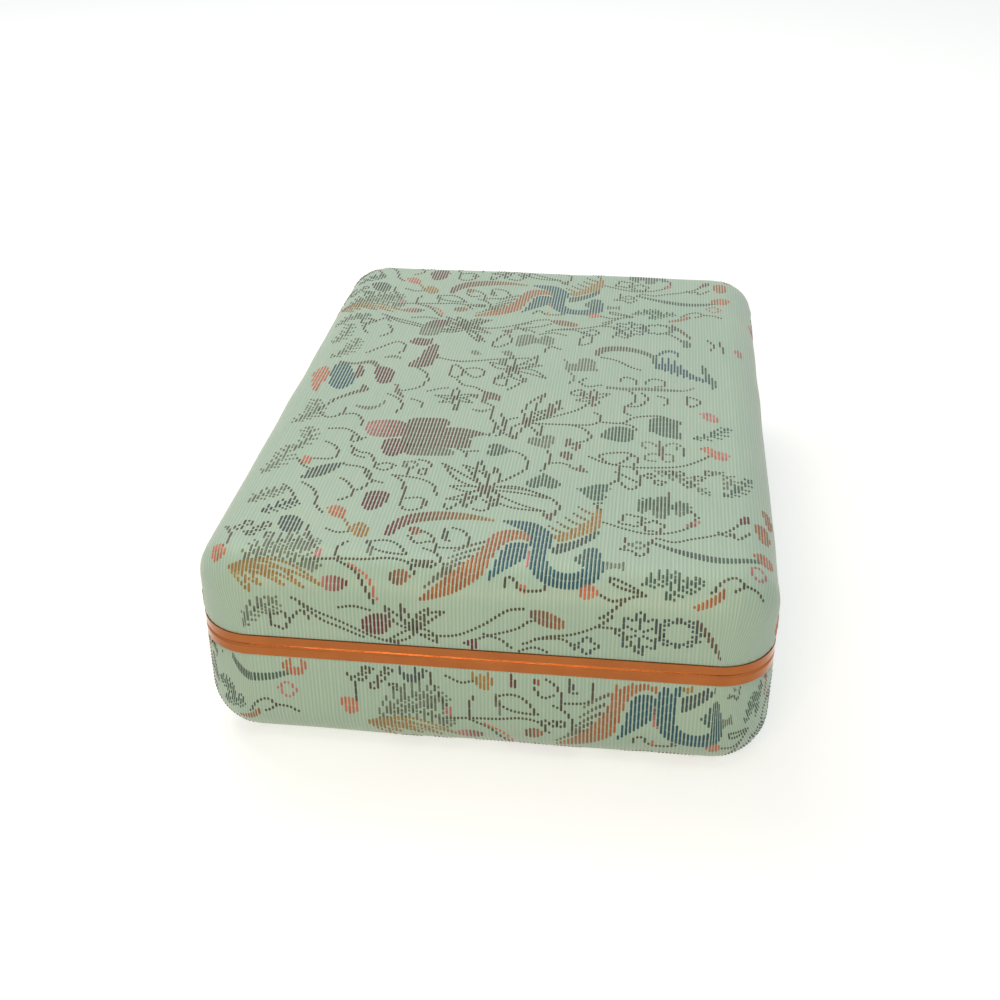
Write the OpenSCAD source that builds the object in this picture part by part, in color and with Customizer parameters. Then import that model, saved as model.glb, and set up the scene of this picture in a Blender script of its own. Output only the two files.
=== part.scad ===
// A brocade-covered keepsake case: a hinged lid and base, each a moulded shell with a woven
// cover outside, a satin liner inside and a folded brass rim round its edge.
// Millimetres. X is the width, Y the depth with the hinge at +Y, Z up from the table.

/* [Body] */
// Width of the closed case across its cover
body_w = 127; // [115:1:145]
// Depth of the closed case across its cover, without the hinge
body_d = 184; // [165:1:210]
// Height of the closed case
body_h = 49; // [46:0.5:56]
// Height of the seam between base and lid
seam_z = 28.5; // [27:0.5:31]
// Radius of the four corners seen from above
corner_r = 13; // [12.5:0.5:17]
// Radius of the lid's top edge
top_r = 9; // [8:0.25:10.5]
// Radius of the base's bottom edge
bottom_r = 12; // [10.5:0.25:12.25]

/* [Cover and shell] */
// Thickness of the brocade with its paper backing
brocade_t = 0.8; // [0.7:0.05:1]
// Thickness of the wadding on top of the lid
wadding_t = 1.6; // [1.2:0.1:2]
// Height of the wadding's turned-down skirt, from the lid's top
wadding_skirt = 7; // [5:0.5:7.5]
// Wall of the two moulded shells
shell_t = 1.2; // [1:0.1:1.4]
// Radius of the lid shell's own top edge, under the wadding
lid_shell_r = 8; // [7.5:0.25:9]
// Glue line between any two layers
glue = 0.1; // [0.05:0.05:0.15]

/* [Rims] */
// Brass sheet that both rims are folded from
rim_t = 0.4; // [0.3:0.05:0.5]
// Height of the lid rim's outer face
lid_rim_h = 2.3; // [2:0.1:2.8]
// Height of the base rim's outer face, with its bevel
base_rim_h = 2.7; // [2.4:0.1:3.2]
// Depth that the rims' inner legs run down beside the liners
leg_h = 3.4; // [2.8:0.1:4]
// Bevel along the base rim's top edge
bevel = 0.8; // [0.5:0.05:0.9]
// Bevel along the lid rim's lower edge
lid_bevel = 0.25; // [0.15:0.05:0.3]
// Height of the base rim's lip above the seam
lip_h = 1.6; // [1.2:0.1:2]
// Gap between that lip and the lid's inner leg
lip_gap = 0.2; // [0.15:0.05:0.3]
// Gap between a rim's crown and the layers gripped in it
edge_gap = 0.3; // [0.2:0.05:0.4]

/* [Hinge] */
// Length of the row of knuckles
hinge_len = 60; // [40:1:80]
// Number of knuckles, which is odd so that the base has both ends
knuckles = 5; // [3:2:7]
// Gap between neighbouring knuckles
knuckle_gap = 0.2; // [0.15:0.05:0.4]
// Radius of a knuckle
barrel_r = 1.4; // [1.3:0.05:1.6]
// Radius of the hinge pin
pin_r = 0.7; // [0.6:0.05:0.75]
// Clearance round the pin in the knuckles
pin_play = 0.05; // [0.03:0.01:0.08]
// Clearance between the barrel and the back of the rims
barrel_gap = 0.1; // [0.08:0.01:0.2]
// Height of the lug that joins a knuckle to its rim
lug_h = 1.2; // [1:0.05:1.3]
// Angle at which the stop heels meet the base rim
stop_angle = 100; // [90:1:105]
// Thickness of a stop heel
heel_w = 1; // [0.8:0.05:1.2]
// Reach of a stop heel beyond the barrel
heel_reach = 0.75; // [0.6:0.05:0.9]
// Radius of the pin's peened heads
head_r = 1.1; // [1:0.05:1.2]
// Length of the pin's peened heads
head_l = 0.5; // [0.4:0.05:0.6]

/* [Catch] */
// Width of the catch spring at the middle of the front
catch_w = 12; // [9:0.5:16]
// Sheet that the catch spring is bent from
catch_t = 0.4; // [0.3:0.05:0.45]
// Radius of the nose that snaps over the lid's inner leg
nose_r = 0.7; // [0.6:0.05:0.8]
// Clearance drawn between the nose and that leg
nose_gap = 0.06; // [0.05:0.01:0.1]
// Radius of the rivets that hold the spring
rivet_r = 0.45; // [0.4:0.05:0.5]
// Clearance round each rivet
rivet_play = 0.03; // [0.02:0.01:0.05]
// Distance between the two rivets
rivet_pitch = 8; // [6:0.5:9]

/* [Liners and pads] */
// Pressed card behind the satin liners
liner_t = 0.7; // [0.6:0.1:0.9]
// Satin of the liners and pads
satin_t = 0.3; // [0.25:0.05:0.4]
// Card under each pad
pad_card_t = 1; // [0.8:0.1:1.2]
// Gap between a pad and the liner round it
pad_gap = 0.3; // [0.2:0.05:0.4]
// Height of the floor pad's side
floor_pad_h = 4.5; // [4:0.1:5.5]
// Height of the lid pad's side
lid_pad_h = 3.4; // [3:0.1:4]
// Rise of each pad's crown over its edge
crown = 1.4; // [0.8:0.1:2]
// Height over which a pad's side turns in to its crown
pad_edge = 0.8; // [0.5:0.1:1]

/* [Hidden] */

$fn = 64;
cut = 1; // how far a cutting shape runs past the surface that it opens

// The centres of the plan corners. Every section is drawn from there: x outwards, y up.
cx = body_w / 2 - corner_r;
cy = body_d / 2 - corner_r;
lid_h = body_h - seam_z;

// The layers from the outside in, as distances from the plan corner's centre
shell_x = corner_r - brocade_t - glue;
card_x = shell_x - shell_t - glue;
satin_x = card_x - liner_t - glue;
leg_x = satin_x - satin_t - glue;
lip_x = leg_x - rim_t - lip_gap;

// A layer as [outer x, height of its outer face, radius of its edge], in a tray standing open
base_cover = [corner_r, 0, bottom_r];
base_layer = inside(base_cover, brocade_t + glue);
lid_cover = [corner_r, 0, top_r];
lid_layer = [shell_x, brocade_t + wadding_t + 2 * glue, lid_shell_r];
to_card = shell_t + glue;
to_satin = to_card + liner_t + glue;
to_inside = to_satin + satin_t;

// Where the layers end under the crown of a rim, seen from the tray's own foot
bevel_sum = corner_r - bevel - rim_t * sqrt(2);
base_edge = min(seam_z - rim_t - edge_gap, seam_z + bevel_sum - shell_x - glue);
base_tongue = seam_z + bevel_sum - (corner_r - rim_t) - glue;
lid_edge = lid_h - rim_t - edge_gap;

// The hinge axis lies on the seam, behind the case
axis_y = body_d / 2 + barrel_gap + barrel_r;
knuckle_l = (hinge_len - (knuckles - 1) * knuckle_gap) / knuckles;
heel_l = barrel_r + heel_reach;

function inside(layer, d) = [layer[0] - d, layer[1] + d, layer[2] - d];

// The filled section of a tray standing open: floor, rounded edge, straight wall
module slab(layer, top) {
    x = layer[0];
    foot = layer[1];
    r = layer[2];
    intersection() {
        translate([0, foot]) square([x, top - foot]);
        union() {
            translate([0, foot]) square([x - r, top]);
            translate([0, foot + r]) square([x, top]);
            translate([x - r, foot + r]) circle(r);
        }
    }
}

// A section carried round the plan: four straight runs and four quarter turns
module round_the_plan() {
    for (side = [0, 180]) {
        rotate([0, 0, side]) translate([cx, 0, 0]) rotate([90, 0, 0])
            linear_extrude(height = 2 * cy, center = true) children();
        rotate([0, 0, side + 90]) translate([cy, 0, 0]) rotate([90, 0, 0])
            linear_extrude(height = 2 * cx, center = true) children();
    }
    for (quarter = [0:3])
        translate([cx * (quarter == 0 || quarter == 3 ? 1 : -1), cy * (quarter < 2 ? 1 : -1), 0])
            rotate([0, 0, 90 * quarter]) rotate_extrude(angle = 90) children();
}

// One layer of a tray, from its outer face to its inner face, with its flat floor
module tray(outer, inner, top) {
    round_the_plan() difference() {
        slab(outer, top);
        slab(inner, top + cut);
    }
    translate([-cx, -cy, outer[1]]) cube([2 * cx, 2 * cy, inner[1] - outer[1]]);
}

module even_tray(layer, wall, top) {
    tray(layer, inside(layer, wall), top);
}

// What belongs to the lid is drawn as a tray standing open, then turned over
module lid_side_up() {
    translate([0, 0, body_h]) mirror([0, 0, 1]) children();
}

// A woven cover: the tray of cloth, and the thin edge of it that the rim nips
module cover(layer, top, tongue_top) {
    even_tray(layer, brocade_t, top);
    round_the_plan() translate([corner_r - brocade_t, top - brocade_t])
        square([brocade_t - rim_t - glue / 2, tongue_top - top + brocade_t]);
}

module base_brocade() {
    color("#A3C4B2") cover(base_cover, seam_z - base_rim_h, base_tongue);
}

module lid_brocade() {
    color("#A9CBB8") lid_side_up() cover(lid_cover, lid_h - lid_rim_h, lid_edge);
}

module base_shell() {
    color("#D8D2C2") even_tray(base_layer, shell_t, base_edge);
}

module lid_shell() {
    color("#D8D2C2") lid_side_up() even_tray(lid_layer, shell_t, lid_edge);
}

// Polyester wadding fills what the lid shell's smaller form leaves under the cloth
module lid_wadding() {
    color("#F4F2EC") lid_side_up()
        tray(inside(lid_cover, brocade_t + glue), inside(lid_layer, -glue), wadding_skirt);
}

module base_liner_card() {
    color("#9C8F7A") even_tray(inside(base_layer, to_card), liner_t, base_edge);
}

module base_liner_satin() {
    color("#E8DCC0") even_tray(inside(base_layer, to_satin), satin_t, base_edge);
}

module lid_liner_card() {
    color("#9C8F7A") lid_side_up() even_tray(inside(lid_layer, to_card), liner_t, lid_edge);
}

module lid_liner_satin() {
    color("#E8DCC0") lid_side_up() even_tray(inside(lid_layer, to_satin), satin_t, lid_edge);
}

// The base rim: an outer face with its bevel, a crown, an inner leg, and a lip that finds the lid
module base_rim_section() {
    top = seam_z;
    out = corner_r;
    in = corner_r - rim_t;
    polygon([
        [out, top - base_rim_h], [out, top - bevel], [out - bevel, top],
        [lip_x, top], [lip_x, top + lip_h], [lip_x - rim_t, top + lip_h],
        [lip_x - rim_t, top - rim_t], [leg_x - rim_t, top - rim_t],
        [leg_x - rim_t, top - leg_h], [leg_x, top - leg_h], [leg_x, top - rim_t],
        [bevel_sum + rim_t, top - rim_t], [in, top + bevel_sum - in],
        [in, top - base_rim_h]
    ]);
}

// The lid rim: a plain channel over the lid's edge
module lid_rim_section() {
    foot = seam_z;
    out = corner_r;
    polygon([
        [out - lid_bevel, foot], [out, foot + lid_bevel], [out, foot + lid_rim_h],
        [out - rim_t, foot + lid_rim_h], [out - rim_t, foot + rim_t], [leg_x, foot + rim_t],
        [leg_x, foot + leg_h], [leg_x - rim_t, foot + leg_h], [leg_x - rim_t, foot]
    ]);
}

function knuckle_x(i) = -hinge_len / 2 + i * (knuckle_l + knuckle_gap);

module along_x(x, length, r) {
    translate([x, axis_y, seam_z]) rotate([0, 90, 0]) cylinder(r = r, h = length);
}

// A knuckle with the lug that is brazed to its rim. side is -1 for the base and 1 for the lid
module knuckle(i, side) {
    from_z = side > 0 ? seam_z + knuckle_gap : seam_z - knuckle_gap - lug_h;
    along_x(knuckle_x(i), knuckle_l, barrel_r);
    translate([knuckle_x(i), body_d / 2 - rim_t, from_z])
        cube([knuckle_l, axis_y - body_d / 2 + rim_t, lug_h]);
}

// A heel on each lid knuckle turns with it and meets the base rim at the stop angle
module heel(i) {
    corner = sqrt(heel_l * heel_l + heel_w * heel_w / 4);
    reach = asin((barrel_r + barrel_gap / 2) / corner);
    lean = stop_angle - reach + atan(heel_w / 2 / heel_l);
    translate([knuckle_x(i), axis_y, seam_z]) rotate([lean, 0, 0])
        translate([0, -heel_w / 2, -heel_l]) cube([knuckle_l, heel_w, heel_l]);
}

module pin_bore() {
    along_x(-hinge_len / 2 - cut, hinge_len + 2 * cut, pin_r + pin_play);
}

module rivet_places() {
    for (x = [-rivet_pitch / 2, rivet_pitch / 2])
        translate([x, -cy - lip_x, seam_z + lip_h / 2]) rotate([-90, 0, 0]) children();
}

module base_rim() {
    color("#B8742C") difference() {
        union() {
            round_the_plan() base_rim_section();
            for (i = [0:2:knuckles - 1]) knuckle(i, -1);
        }
        pin_bore();
        rivet_places() translate([0, 0, -lip_gap / 2])
            cylinder(r = rivet_r + rivet_play, h = rim_t + lip_gap);
    }
}

module lid_rim() {
    color("#B8742C") difference() {
        union() {
            round_the_plan() lid_rim_section();
            for (i = [1:2:knuckles - 2]) {
                knuckle(i, 1);
                heel(i);
            }
        }
        pin_bore();
    }
}

module hinge_pin() {
    color("#C98A3C") {
        along_x(-hinge_len / 2 - pin_play - head_l, hinge_len + 2 * (pin_play + head_l), pin_r);
        for (x = [-hinge_len / 2 - pin_play - head_l, hinge_len / 2 + pin_play])
            along_x(x, head_l, head_r);
    }
}

// The spring stands against the inside of the lip, with its nose over the lid's inner leg
module catch_spring() {
    foot = seam_z - rim_t;
    back = lip_x - rim_t - catch_t;
    nose_x = leg_x - rim_t - nose_gap - nose_r;
    nose_z = seam_z + leg_h + nose_r;
    color("#C9CCD0") translate([0, -cy, 0]) rotate([90, 0, -90]) difference() {
        linear_extrude(height = catch_w, center = true) {
            translate([back, foot]) square([catch_t, nose_z + 2 * nose_r - foot]);
            intersection() {
                translate([nose_x, nose_z]) circle(nose_r);
                translate([back, foot]) square([corner_r, nose_z + 2 * nose_r - foot]);
            }
        }
        for (x = [-rivet_pitch / 2, rivet_pitch / 2])
            translate([back - cut, seam_z + lip_h / 2, x]) rotate([0, 90, 0])
                cylinder(r = rivet_r + rivet_play, h = catch_t + 2 * cut);
    }
}

// Each rivet is flush with the lip's outer face and domed inside the spring
module catch_rivets() {
    color("#C9CCD0") rivet_places() {
        cylinder(r = rivet_r, h = rim_t + catch_t);
        translate([0, 0, rim_t + catch_t]) cylinder(r1 = 2 * rivet_r, r2 = rivet_r, h = rivet_r);
    }
}

// Pads are lofted through rings that follow the plan. A ring is [x, height, share of the plan]
ring_steps = 5;
side_steps = 5;
crown_shares = [0.93, 0.8, 0.6, 0.4, 0.2];

function ring(r) = [
    for (q = [0:3], i = [0:ring_steps])
        let (a = 90 * (q + i / ring_steps))
            [r[2] * (cx * (q == 0 || q == 3 ? 1 : -1) + r[0] * cos(a)),
             r[2] * (cy * (q < 2 ? 1 : -1) + r[0] * sin(a)), r[1]]
];

// The inner curve of a liner as [centre x, centre height, radius], and where its floor lies
function hug(layer) = [layer[0] - layer[2], layer[1] + layer[2], layer[2] - to_inside];
function floor_of(layer) = layer[1] + to_inside;

// The pad's side follows the liner's curve up to a height h, at a depth d within the pad
function pad_side(hug, h, d) = let (
    r = hug[2] - pad_gap - d,
    last = acos((hug[1] - h) / (hug[2] - pad_gap))
) [for (k = [1:side_steps]) let (a = last * k / side_steps) [hug[0] + r * sin(a), hug[1] - r * cos(a), 1]];

// Then it turns in over its edge and rises to the crown
function pad_top(hug, h, d) = let (
    side = pad_side(hug, h, 0)[side_steps - 1] - [d, d, 0],
    turn = side + [-2 * pad_edge, 1.5 * pad_edge, 0]
) concat(
    [side + [-pad_edge / 2, pad_edge, 0], turn],
    [for (s = crown_shares) [turn[0], turn[1] + crown * (1 - s * s), s]]
);

function turned(list) = [for (i = [len(list) - 1:-1:0]) list[i]];

module loft(rings) {
    n = 4 * (ring_steps + 1);
    last = len(rings) - 1;
    sides = [for (k = [0:last - 1], i = [0:n - 1]) let (
        a = k * n + i,
        b = k * n + (i + 1) % n
    ) each [[a, a + n, b], [b, a + n, b + n]]];
    caps = [for (i = [1:n - 2]) each [[0, i, i + 1], [last * n, last * n + i + 1, last * n + i]]];
    polyhedron(points = [for (r = rings) each ring(r)], faces = concat(sides, caps));
}

module pad_card(layer) {
    foot = floor_of(layer) + glue;
    reach = hug(layer)[0] + sqrt(pow(hug(layer)[2], 2) - pow(hug(layer)[1] - foot, 2)) - glue;
    translate([-cx, -cy, foot]) cube([2 * cx, 2 * cy, pad_card_t]);
    round_the_plan() translate([0, foot]) square([reach, pad_card_t]);
}

module pad_foam(layer, h) {
    foot = floor_of(layer) + pad_card_t + 2 * glue;
    d = satin_t + glue;
    top = floor_of(layer) + h;
    r = hug(layer)[2] - pad_gap - d;
    low = hug(layer)[0] + sqrt(r * r - pow(hug(layer)[1] - foot, 2));
    side = [for (p = pad_side(hug(layer), top, d)) if (p[1] > foot + glue) p];
    loft(concat([[low, foot, 1]], side, pad_top(hug(layer), top, d)));
}

// The satin wraps the foam's crown and sides, and is open underneath
module pad_satin(layer, h) {
    top = floor_of(layer) + h;
    loft(concat(
        turned(pad_top(hug(layer), top, satin_t)), turned(pad_side(hug(layer), top, satin_t)),
        pad_side(hug(layer), top, 0), pad_top(hug(layer), top, 0)
    ));
}

module floor_pad_card() {
    color("#9C8F7A") pad_card(base_layer);
}

module floor_pad_foam() {
    color("#F0E6C8") pad_foam(base_layer, floor_pad_h);
}

module floor_pad_satin() {
    color("#EFE4CB") pad_satin(base_layer, floor_pad_h);
}

module lid_pad_card() {
    color("#9C8F7A") lid_side_up() pad_card(lid_layer);
}

module lid_pad_foam() {
    color("#F0E6C8") lid_side_up() pad_foam(lid_layer, lid_pad_h);
}

module lid_pad_satin() {
    color("#EFE4CB") lid_side_up() pad_satin(lid_layer, lid_pad_h);
}

base_shell();
base_brocade();
base_rim();
base_liner_card();
base_liner_satin();
floor_pad_card();
floor_pad_foam();
floor_pad_satin();
hinge_pin();
catch_spring();
catch_rivets();
lid_shell();
lid_wadding();
lid_brocade();
lid_rim();
lid_liner_card();
lid_liner_satin();
lid_pad_card();
lid_pad_foam();
lid_pad_satin();
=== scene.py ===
# %% [markdown]
# # A brocade keepsake case
# The case is a hinged box, covered outside in figured silk and lined inside with satin. Its two halves
# meet in a pair of folded rims of rose-gold metal. The rims, the hinge and the catch come from the CAD
# frame. This lesson dresses them: it cuts and folds the cloth, weaves the birds and flowers into it
# thread by thread, pads the inside, and lights the case as a small product photograph.

# %% The frame
import math
import random

import bpy
import numpy as np
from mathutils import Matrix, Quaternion, Vector


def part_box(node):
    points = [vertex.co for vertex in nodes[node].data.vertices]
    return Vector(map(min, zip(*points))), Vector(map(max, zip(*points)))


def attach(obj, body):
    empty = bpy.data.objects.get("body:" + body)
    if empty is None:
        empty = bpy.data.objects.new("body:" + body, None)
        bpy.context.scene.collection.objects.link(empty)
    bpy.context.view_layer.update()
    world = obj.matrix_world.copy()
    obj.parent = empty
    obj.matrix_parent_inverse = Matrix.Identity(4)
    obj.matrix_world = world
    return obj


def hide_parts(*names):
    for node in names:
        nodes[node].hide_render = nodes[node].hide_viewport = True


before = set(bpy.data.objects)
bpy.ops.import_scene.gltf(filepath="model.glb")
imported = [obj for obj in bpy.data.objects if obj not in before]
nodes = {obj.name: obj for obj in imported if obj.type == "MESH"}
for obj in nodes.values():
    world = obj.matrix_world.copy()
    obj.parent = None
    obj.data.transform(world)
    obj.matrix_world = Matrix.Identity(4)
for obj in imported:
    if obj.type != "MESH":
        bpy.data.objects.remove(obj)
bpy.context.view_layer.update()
MM = 0.001
case_low, case_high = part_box("base_brocade")
lid_low, lid_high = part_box("lid_brocade")
print("cloth-covered case, mm:", [round((b - a) / MM, 1) for a, b in zip(case_low, lid_high)])

# %% [markdown]
# ## Two helpers for finishes
# Colours are written as the sRGB hex values that a paint chart gives, and Blender wants linear light, so
# one function turns them. Every shader below is a small tree of nodes, and a second function adds one
# node, sets it and links it, which keeps a finish readable from top to bottom.

# %% Colours and nodes


def linear(colour):
    channels = [int(colour[i : i + 2], 16) / 255 for i in (1, 3, 5)]
    return [c / 12.92 if c <= 0.04045 else ((c + 0.055) / 1.055) ** 2.4 for c in channels] + [1.0]


def add_node(tree, kind, inputs=None, **settings):
    made = tree.nodes.new(kind)
    for name, value in settings.items():
        setattr(made, name, value)
    for name, value in (inputs or {}).items():
        if isinstance(value, bpy.types.NodeSocket):
            tree.links.new(value, made.inputs[name])
        else:
            made.inputs[name].default_value = value
    return made


def new_finish(name):
    finish = bpy.data.materials.new(name)
    finish.use_nodes = True
    finish.node_tree.nodes.clear()
    return finish, finish.node_tree


# %% [markdown]
# ## The camera
# It stands where the photographer stood: a little to the right, about 30 degrees above the table, close
# enough that the near edge of the case looks a third wider than the far one.

# %% Camera
CAMERA_AIM = Vector((-5.73, -3.35, 16.34)) * MM
CAMERA_DISTANCE = 373.7 * MM
CAMERA_AZIMUTH = math.radians(6.82)
CAMERA_ELEVATION = math.radians(30.29)
CAMERA_ROLL = math.radians(-0.235)

scene = bpy.context.scene
camera = bpy.data.objects.new("camera", bpy.data.cameras.new("camera"))
scene.collection.objects.link(camera)
camera.data.lens = 48.86
camera.data.sensor_width = 36
camera.data.clip_start = 0.01
back = Vector((
    math.sin(CAMERA_AZIMUTH) * math.cos(CAMERA_ELEVATION),
    -math.cos(CAMERA_AZIMUTH) * math.cos(CAMERA_ELEVATION),
    math.sin(CAMERA_ELEVATION),
))
camera.rotation_mode = "QUATERNION"
camera.rotation_quaternion = Quaternion(back, CAMERA_ROLL) @ (-back).to_track_quat("-Z", "Y")
camera.location = CAMERA_AIM + back * CAMERA_DISTANCE
scene.camera = camera
scene.view_settings.view_transform = "Standard"
print("camera at, mm:", [round(x / MM) for x in camera.location])

# %% [markdown]
# ## The table and the light
# The case stands on a white sweep. The sweep and the sky show white to the camera and in reflections,
# but light the case only gently, so that the cloth keeps its colour. Lamps do the rest: a broad window
# above, a small bright one in front that the rounded front edge catches, and one for the rim's bevel.

# %% Table
bpy.ops.object.select_all(action="DESELECT")
bpy.ops.mesh.primitive_plane_add(size=6)
table = bpy.context.object
table.name = "table"
sweep, tree = new_finish("matt white paper")
path = add_node(tree, "ShaderNodeLightPath")
paper = add_node(tree, "ShaderNodeBsdfDiffuse", {"Color": linear("#e9e9e9")})
glow = add_node(tree, "ShaderNodeEmission", {"Color": linear("#ffffff"), "Strength": 0.55})
seen = add_node(tree, "ShaderNodeMath",
                {0: path.outputs["Is Camera Ray"], 1: path.outputs["Is Glossy Ray"]}, operation="MAXIMUM")
seen = add_node(tree, "ShaderNodeMath", {0: seen.outputs[0], 1: path.outputs["Is Transmission Ray"]},
                operation="MAXIMUM")
both = add_node(tree, "ShaderNodeAddShader", {0: paper.outputs[0], 1: glow.outputs[0]})
mix = add_node(tree, "ShaderNodeMixShader", {0: seen.outputs[0], 1: paper.outputs[0], 2: both.outputs[0]})
add_node(tree, "ShaderNodeOutputMaterial", {"Surface": mix.outputs[0]})
table.data.materials.append(sweep)

# %% Sky
SKY_LIGHT = 0.42
world = bpy.data.worlds.new("studio")
scene.world = world
world.use_nodes = True
tree = world.node_tree
tree.nodes.clear()
path = add_node(tree, "ShaderNodeLightPath")
seen = add_node(tree, "ShaderNodeMath",
                {0: path.outputs["Is Camera Ray"], 1: path.outputs["Is Glossy Ray"]}, operation="MAXIMUM")
seen = add_node(tree, "ShaderNodeMath", {0: seen.outputs[0], 1: path.outputs["Is Transmission Ray"]},
                operation="MAXIMUM")
fill_light = add_node(tree, "ShaderNodeBackground", {"Color": linear("#e4eef2"), "Strength": SKY_LIGHT})
white = add_node(tree, "ShaderNodeBackground", {"Color": linear("#ffffff"), "Strength": 1.0})
mix = add_node(tree, "ShaderNodeMixShader",
               {0: seen.outputs[0], 1: fill_light.outputs[0], 2: white.outputs[0]})
add_node(tree, "ShaderNodeOutputWorld", {"Surface": mix.outputs[0]})

# %% Lamps
# name, way from the case (x, y, z), distance in m, size in m, brightness, colour
LAMPS = [
    ("window", (-0.35, 0.45, 0.85), 0.9, (0.7, 0.5), 2.6, "#fff6e8"),
    ("bevel_box", (0.10, -0.505, 0.857), 0.6, (0.30, 0.10), 2.0, "#ffe9cf"),
    ("front_strip", (-0.10, -0.866, 0.49), 0.55, (0.22, 0.035), 26.0, "#ffe2b0"),
]
for name, way, distance, size, brightness, colour in LAMPS:
    way = Vector(way).normalized()
    lamp = bpy.data.lights.new(name, "AREA")
    lamp.shape = "RECTANGLE"
    lamp.size, lamp.size_y = size
    lamp.color = linear(colour)[:3]
    lamp.energy = brightness * math.pi * size[0] * size[1]  # watts that give this radiance
    holder = bpy.data.objects.new(name, lamp)
    scene.collection.objects.link(holder)
    holder.location = Vector((0, 0, 0.03)) + way * distance
    holder.rotation_mode = "QUATERNION"
    holder.rotation_quaternion = (-way).to_track_quat("-Z", "Y")
    print("lamp", name, "radiance", brightness)

# %% [markdown]
# ## Where the flat cloth goes
# A case maker cuts the brocade flat, lays the form on it and pulls the edges round. So every point here
# is first a place on the flat cloth, in millimetres, and one function says where it ends up: straight
# across the middle, round the edge, then down the wall, with the corners pulled round in the same way.
# The pattern, the weave and the threads all use it, so that they stay together.

# %% Forms and folding
CORNER = 13.0  # plan corner radius of the case, mm
CENTRES = np.array([case_high.x, case_high.y]) / MM - CORNER  # centres of the plan's corner arcs


class Form:
    """A tray that cloth is pulled over: its corner and edge radii, the height of its flat face, and
    side = 1 for a face on top, -1 for a face underneath. reach is the cloth beyond the corner centres."""

    def __init__(self, corner, edge, face, side, rim_height, hidden, loose=0.055):
        self.corner, self.edge, self.face, self.side = corner, edge, face, side
        self.loose = loose  # height of the waves that the sheet keeps, mm
        self.reach = corner - edge + edge * math.pi / 2 + abs(face - rim_height) - edge
        self.cut = self.reach + hidden
        self.flat = 2 * (CENTRES + self.cut)


def waves(flat, form):
    """Slow unevenness of cloth over wadding, fading out towards the rim, in mm."""
    u, v = flat[:, 0], flat[:, 1]
    slow = np.sin(u / 5.9 + v / 9.1 + 1.0) + np.sin(u / 8.3 - v / 5.3 + 2.0)
    slow = slow + 0.7 * np.sin(v / 4.1 + u / 17.0)
    out = np.linalg.norm(flat - np.clip(flat, -CENTRES, CENTRES), axis=1)
    return form.loose * slow * np.clip((form.reach - out) / 6, 0, 1)


def fold(flat, form, lift=0.0):
    """Flat cloth points (u, v) in mm to points on the case in metres, raised by lift mm."""
    flat = np.asarray(flat, float)
    inner = np.clip(flat, -CENTRES, CENTRES)
    out = flat - inner
    run = np.linalg.norm(out, axis=1)
    way = out / np.maximum(run, 1e-9)[:, None]
    level = form.corner - form.edge
    turn = np.clip((run - level) / form.edge, 0, math.pi / 2)
    lift = lift + waves(flat, form)
    across = np.where(run < level, run, level + form.edge * np.sin(turn)) + lift * np.sin(turn)
    drop = form.edge * (1 - np.cos(turn)) + np.maximum(run - level - form.edge * math.pi / 2, 0)
    plan = inner + way * across[:, None]
    height = form.face + form.side * (lift * np.cos(turn) - drop)
    return np.column_stack([plan[:, 0], form.side * plan[:, 1], height]) * MM


RIM_TOP, RIM_FOOT = 30.8, 25.8  # where the rims' outer faces end, mm
lid_form = Form(CORNER, 9.0, lid_high.z / MM, 1, RIM_TOP, 1.46)
base_form = Form(CORNER, 12.0, 0.0, -1, RIM_FOOT, 1.6)
print("cloth cut for the lid, mm:", np.round(lid_form.flat, 1), "base:", np.round(base_form.flat, 1))

# %% [markdown]
# ## The cover cloths
# One sheet for the lid and one for the base. Each starts as a plane, its four corners rounded with a
# vertex bevel, then bisected into rows, closer together where the cloth will bend. The fold then carries
# the rows onto the form, and Solidify gives the cloth and its paper backing their thickness.

# %% Cutting a sheet


def pick_up(obj):
    bpy.ops.object.select_all(action="DESELECT")
    obj.select_set(True)
    bpy.context.view_layer.objects.active = obj


def rows_for(half, form):
    """Where the sheet is cut across: wide apart on the flat, close on the bend."""
    start = half + form.corner - form.edge
    end = start + form.edge * math.pi / 2
    last = half + form.reach
    parts = [np.arange(0, start - 1, 3.0), np.linspace(start - 1, end + 1, 15),
             np.arange(end + 3, last - 0.6, 2.0)]
    positive = np.concatenate([*parts, [last - 0.5]])
    return np.concatenate([-positive[:0:-1], positive])


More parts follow.
